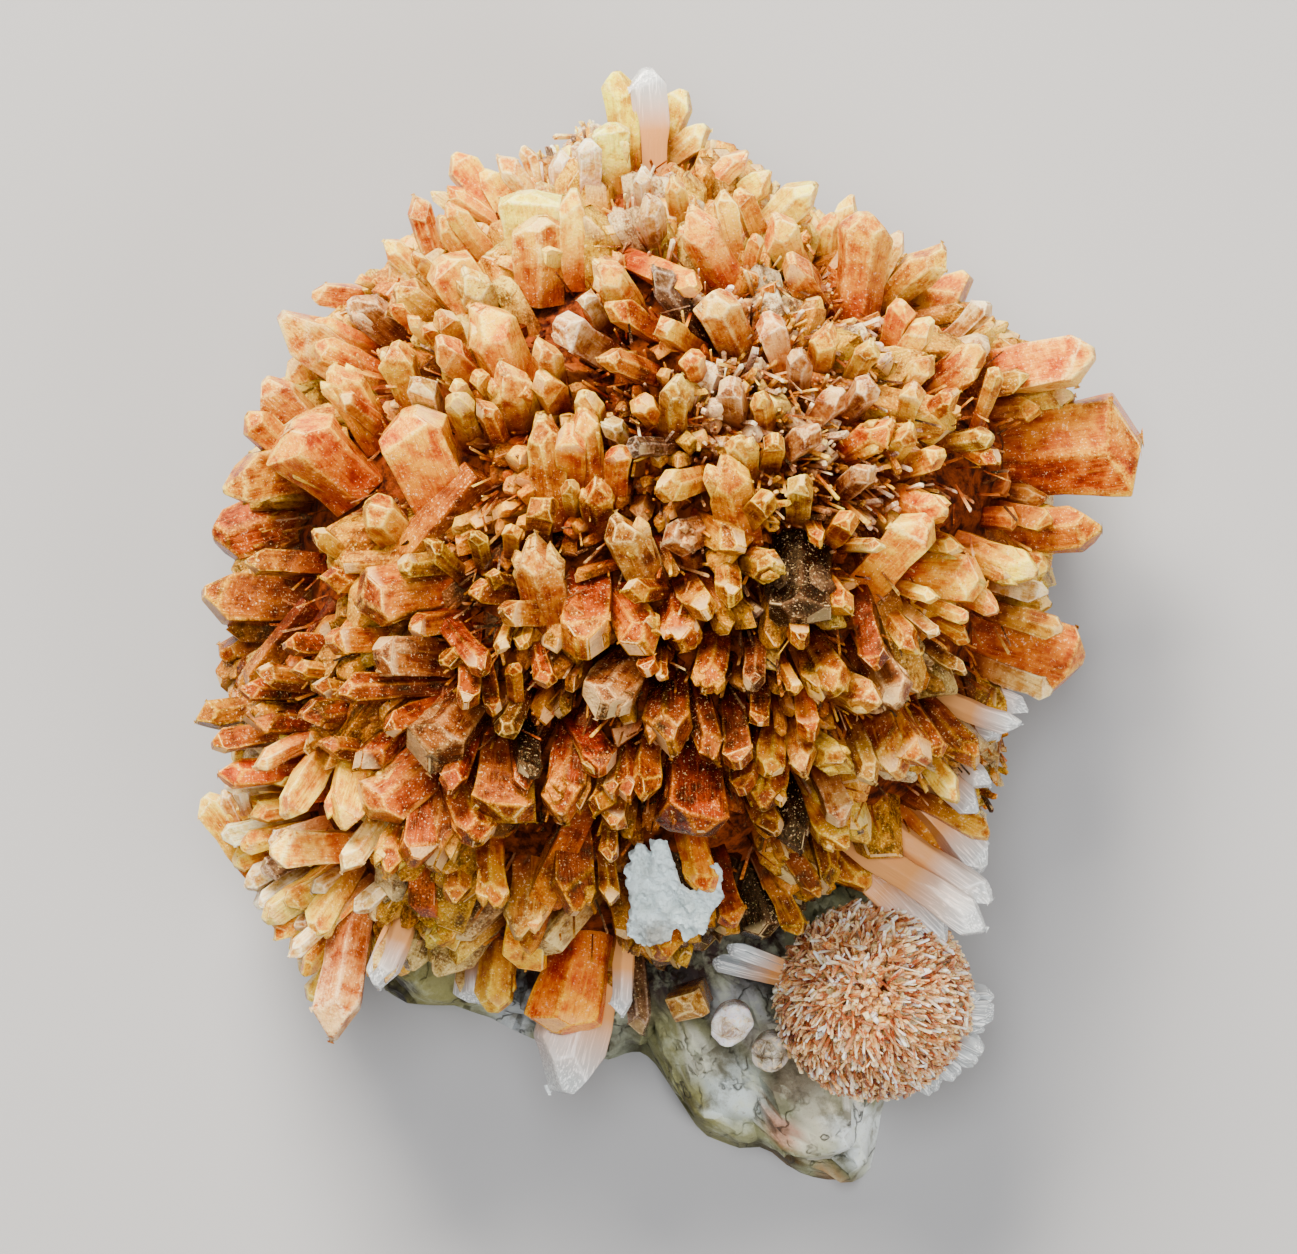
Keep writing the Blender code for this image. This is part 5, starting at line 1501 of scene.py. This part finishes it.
class CREEDITE_OT_flake(bpy.types.Operator):
    """Shapes the thin white flake that lies between the crystals"""
    bl_idname = "creedite.flake"
    bl_label = "White flake"

    def execute(self, context):
        start_clean()
        corners = len(FLAKE_OUTLINE)
        bpy.ops.mesh.primitive_circle_add(vertices=corners * FLAKE_STEPS, radius=1, fill_type="NGON")
        piece = context.object
        piece.name = "chalky_flake"
        middle = place(*FLAKE_MIDDLE, FLAKE_HEIGHT)
        for index, vert in enumerate(piece.data.vertices):
            start = FLAKE_OUTLINE[index // FLAKE_STEPS]
            end = FLAKE_OUTLINE[(index // FLAKE_STEPS + 1) % corners]
            share = index % FLAKE_STEPS / FLAKE_STEPS
            across = start[0] + (end[0] - start[0]) * share
            down = start[1] + (end[1] - start[1]) * share
            offset = place(across, down, FLAKE_HEIGHT) - middle
            vert.co = (offset.x, offset.y / math.cos(FLAKE_TILT), 0)
            inward = 0.34 * MM * (1 + noise.fractal(vert.co / (1.3 * MM), 0.7, 2.2, 4))
            inward += 0.5 * MM * abs(noise.noise(vert.co / (0.45 * MM)))
            vert.co -= vert.co.normalized() * inward
        edit_whole()
        bpy.ops.mesh.normals_make_consistent(inside=False)
        bpy.ops.object.mode_set(mode="OBJECT")
        shell = piece.modifiers.new("thickness", "SOLIDIFY")
        shell.thickness = FLAKE_THICKNESS * 0.8
        shell.offset = 0
        bpy.ops.object.modifier_apply(modifier="thickness")
        even = piece.modifiers.new("even faces", "REMESH")
        even.mode = "VOXEL"
        even.voxel_size = FLAKE_VOXEL
        bpy.ops.object.modifier_apply(modifier="even faces")
        turned = Matrix.Translation(middle) @ Matrix.Rotation(FLAKE_TILT, 4, "X")
        for vert in piece.data.vertices:
            lump = noise.fractal(vert.co / FLAKE_LUMPS, 0.5, 2.2, 6)
            vert.co += pushed(vert.co / FLAKE_CRUMBS) * 0.16 * MM
            vert.co.z += FLAKE_LUMP_HEIGHT * lump
            vert.co = turned @ vert.co
        bpy.ops.object.shade_smooth_by_angle(angle=math.radians(40))
        finish_piece(piece, material_of("dull chalky flake", chalk), "white_flake")
        return {"FINISHED"}


class CREEDITE_OT_grains(bpy.types.Operator):
    """Sets the three grains that stand on the matrix by themselves"""
    bl_idname = "creedite.grains"
    bl_label = "Grains"

    def execute(self, context):
        for node, ((across, down), width, height, sides, thickness) in GRAINS.items():
            draw = random.Random(len(node))
            foot = place(across, down, GRAIN_FOOT)
            lean = Vector((draw.uniform(-0.12, 0.12), draw.uniform(-0.3, -0.1), 1)).normalized()
            turn = draw.uniform(0, 1)
            mould = model_mould("grain", sides, tip_cuts(draw, 4), True)
            grain = (foot, foot + lean * height, width, thickness, turn, 0, linear(GRAIN_COLOURS[node]))
            piece = stamp(node.replace("_", "-"), [mould], [grain], 36, never_buried)
            if node != "honey_crystal":
                edit_whole()
                bpy.ops.mesh.subdivide(number_cuts=1)
                bpy.ops.mesh.vertices_smooth(factor=0.5, repeat=36)
                bpy.ops.object.mode_set(mode="OBJECT")
            finish_piece(piece, crystal_material(context), node)
        return {"FINISHED"}


class CREEDITE_OT_stage(bpy.types.Operator):
    """Sets the floor, the lights and the camera over the specimen"""
    bl_idname = "creedite.stage"
    bl_label = "Stage"

    def execute(self, context):
        start_clean()
        bpy.ops.mesh.primitive_plane_add(size=4)
        floor = context.object
        floor.name = "floor"
        board = floor_board("matt floor board", context.scene.creedite_cluster.floor_colour)
        floor.data.materials.append(board)
        for name, spot, size, power, tint in (
            ("key", (-0.20, 0.56, 0.46), 0.34, 25.0, "#fff4e4"),
            ("side", (0.42, -0.34, 0.50), 0.40, 4.5, "#fffaf4"),
            ("overhead", (-0.06, 0.14, 1.1), 0.50, 11.0, "#ffffff"),
        ):
            bpy.ops.object.light_add(type="AREA", location=spot)
            light = context.object
            light.name = name
            light.data.size = size
            light.data.energy = power
            light.data.color = linear(tint)[:3]
            light.rotation_euler = (Vector((0, 0, 0.02)) - light.location).to_track_quat("-Z", "Y").to_euler()
        bpy.ops.object.camera_add(location=(0, 0, EYE_HEIGHT), rotation=(0, 0, 0))
        camera = context.object
        camera.name = "camera"
        camera.data.sensor_width = 36.0
        camera.data.lens = 36.0 * (EYE_HEIGHT - READ_HEIGHT) / (PICTURE_SIZE[0] / PIXELS_PER_METRE)
        context.scene.camera = camera
        world = bpy.data.worlds.new("studio")
        world.use_nodes = True
        world.node_tree.nodes["Background"].inputs["Color"].default_value = linear("#e6e6e6")
        world.node_tree.nodes["Background"].inputs["Strength"].default_value = 0.13
        context.scene.world = world
        return {"FINISHED"}


class CREEDITE_PT_panel(bpy.types.Panel):
    """Lists the settings and the pieces"""
    bl_idname = "CREEDITE_PT_panel"
    bl_label = "Creedite cluster"
    bl_space_type = "VIEW_3D"
    bl_region_type = "UI"
    bl_category = "Creedite"

    def draw(self, context):
        for setting in ("glow", "fill_count", "floor_colour"):
            self.layout.prop(context.scene.creedite_cluster, setting)
        for operator in OPERATORS:
            self.layout.operator(operator.bl_idname)


OPERATORS = (
    CREEDITE_OT_crystals,
    CREEDITE_OT_small_crystals,
    CREEDITE_OT_roots,
    CREEDITE_OT_side_cluster,
    CREEDITE_OT_matrix,
    CREEDITE_OT_flake,
    CREEDITE_OT_grains,
    CREEDITE_OT_stage,
)
CLASSES = (ClusterSettings, *OPERATORS, CREEDITE_PT_panel)


def register():
    for item in CLASSES:
        bpy.utils.register_class(item)
    bpy.types.Scene.creedite_cluster = PointerProperty(type=ClusterSettings)


def unregister():
    del bpy.types.Scene.creedite_cluster
    for item in reversed(CLASSES):
        bpy.utils.unregister_class(item)


def main():
    register()
    bpy.ops.creedite.crystals()
    bpy.ops.creedite.small_crystals()
    bpy.ops.creedite.roots()
    bpy.ops.creedite.side_cluster()
    bpy.ops.creedite.matrix()
    bpy.ops.creedite.flake()
    bpy.ops.creedite.grains()
    bpy.ops.creedite.stage()


if __name__ == "__main__":
    main()
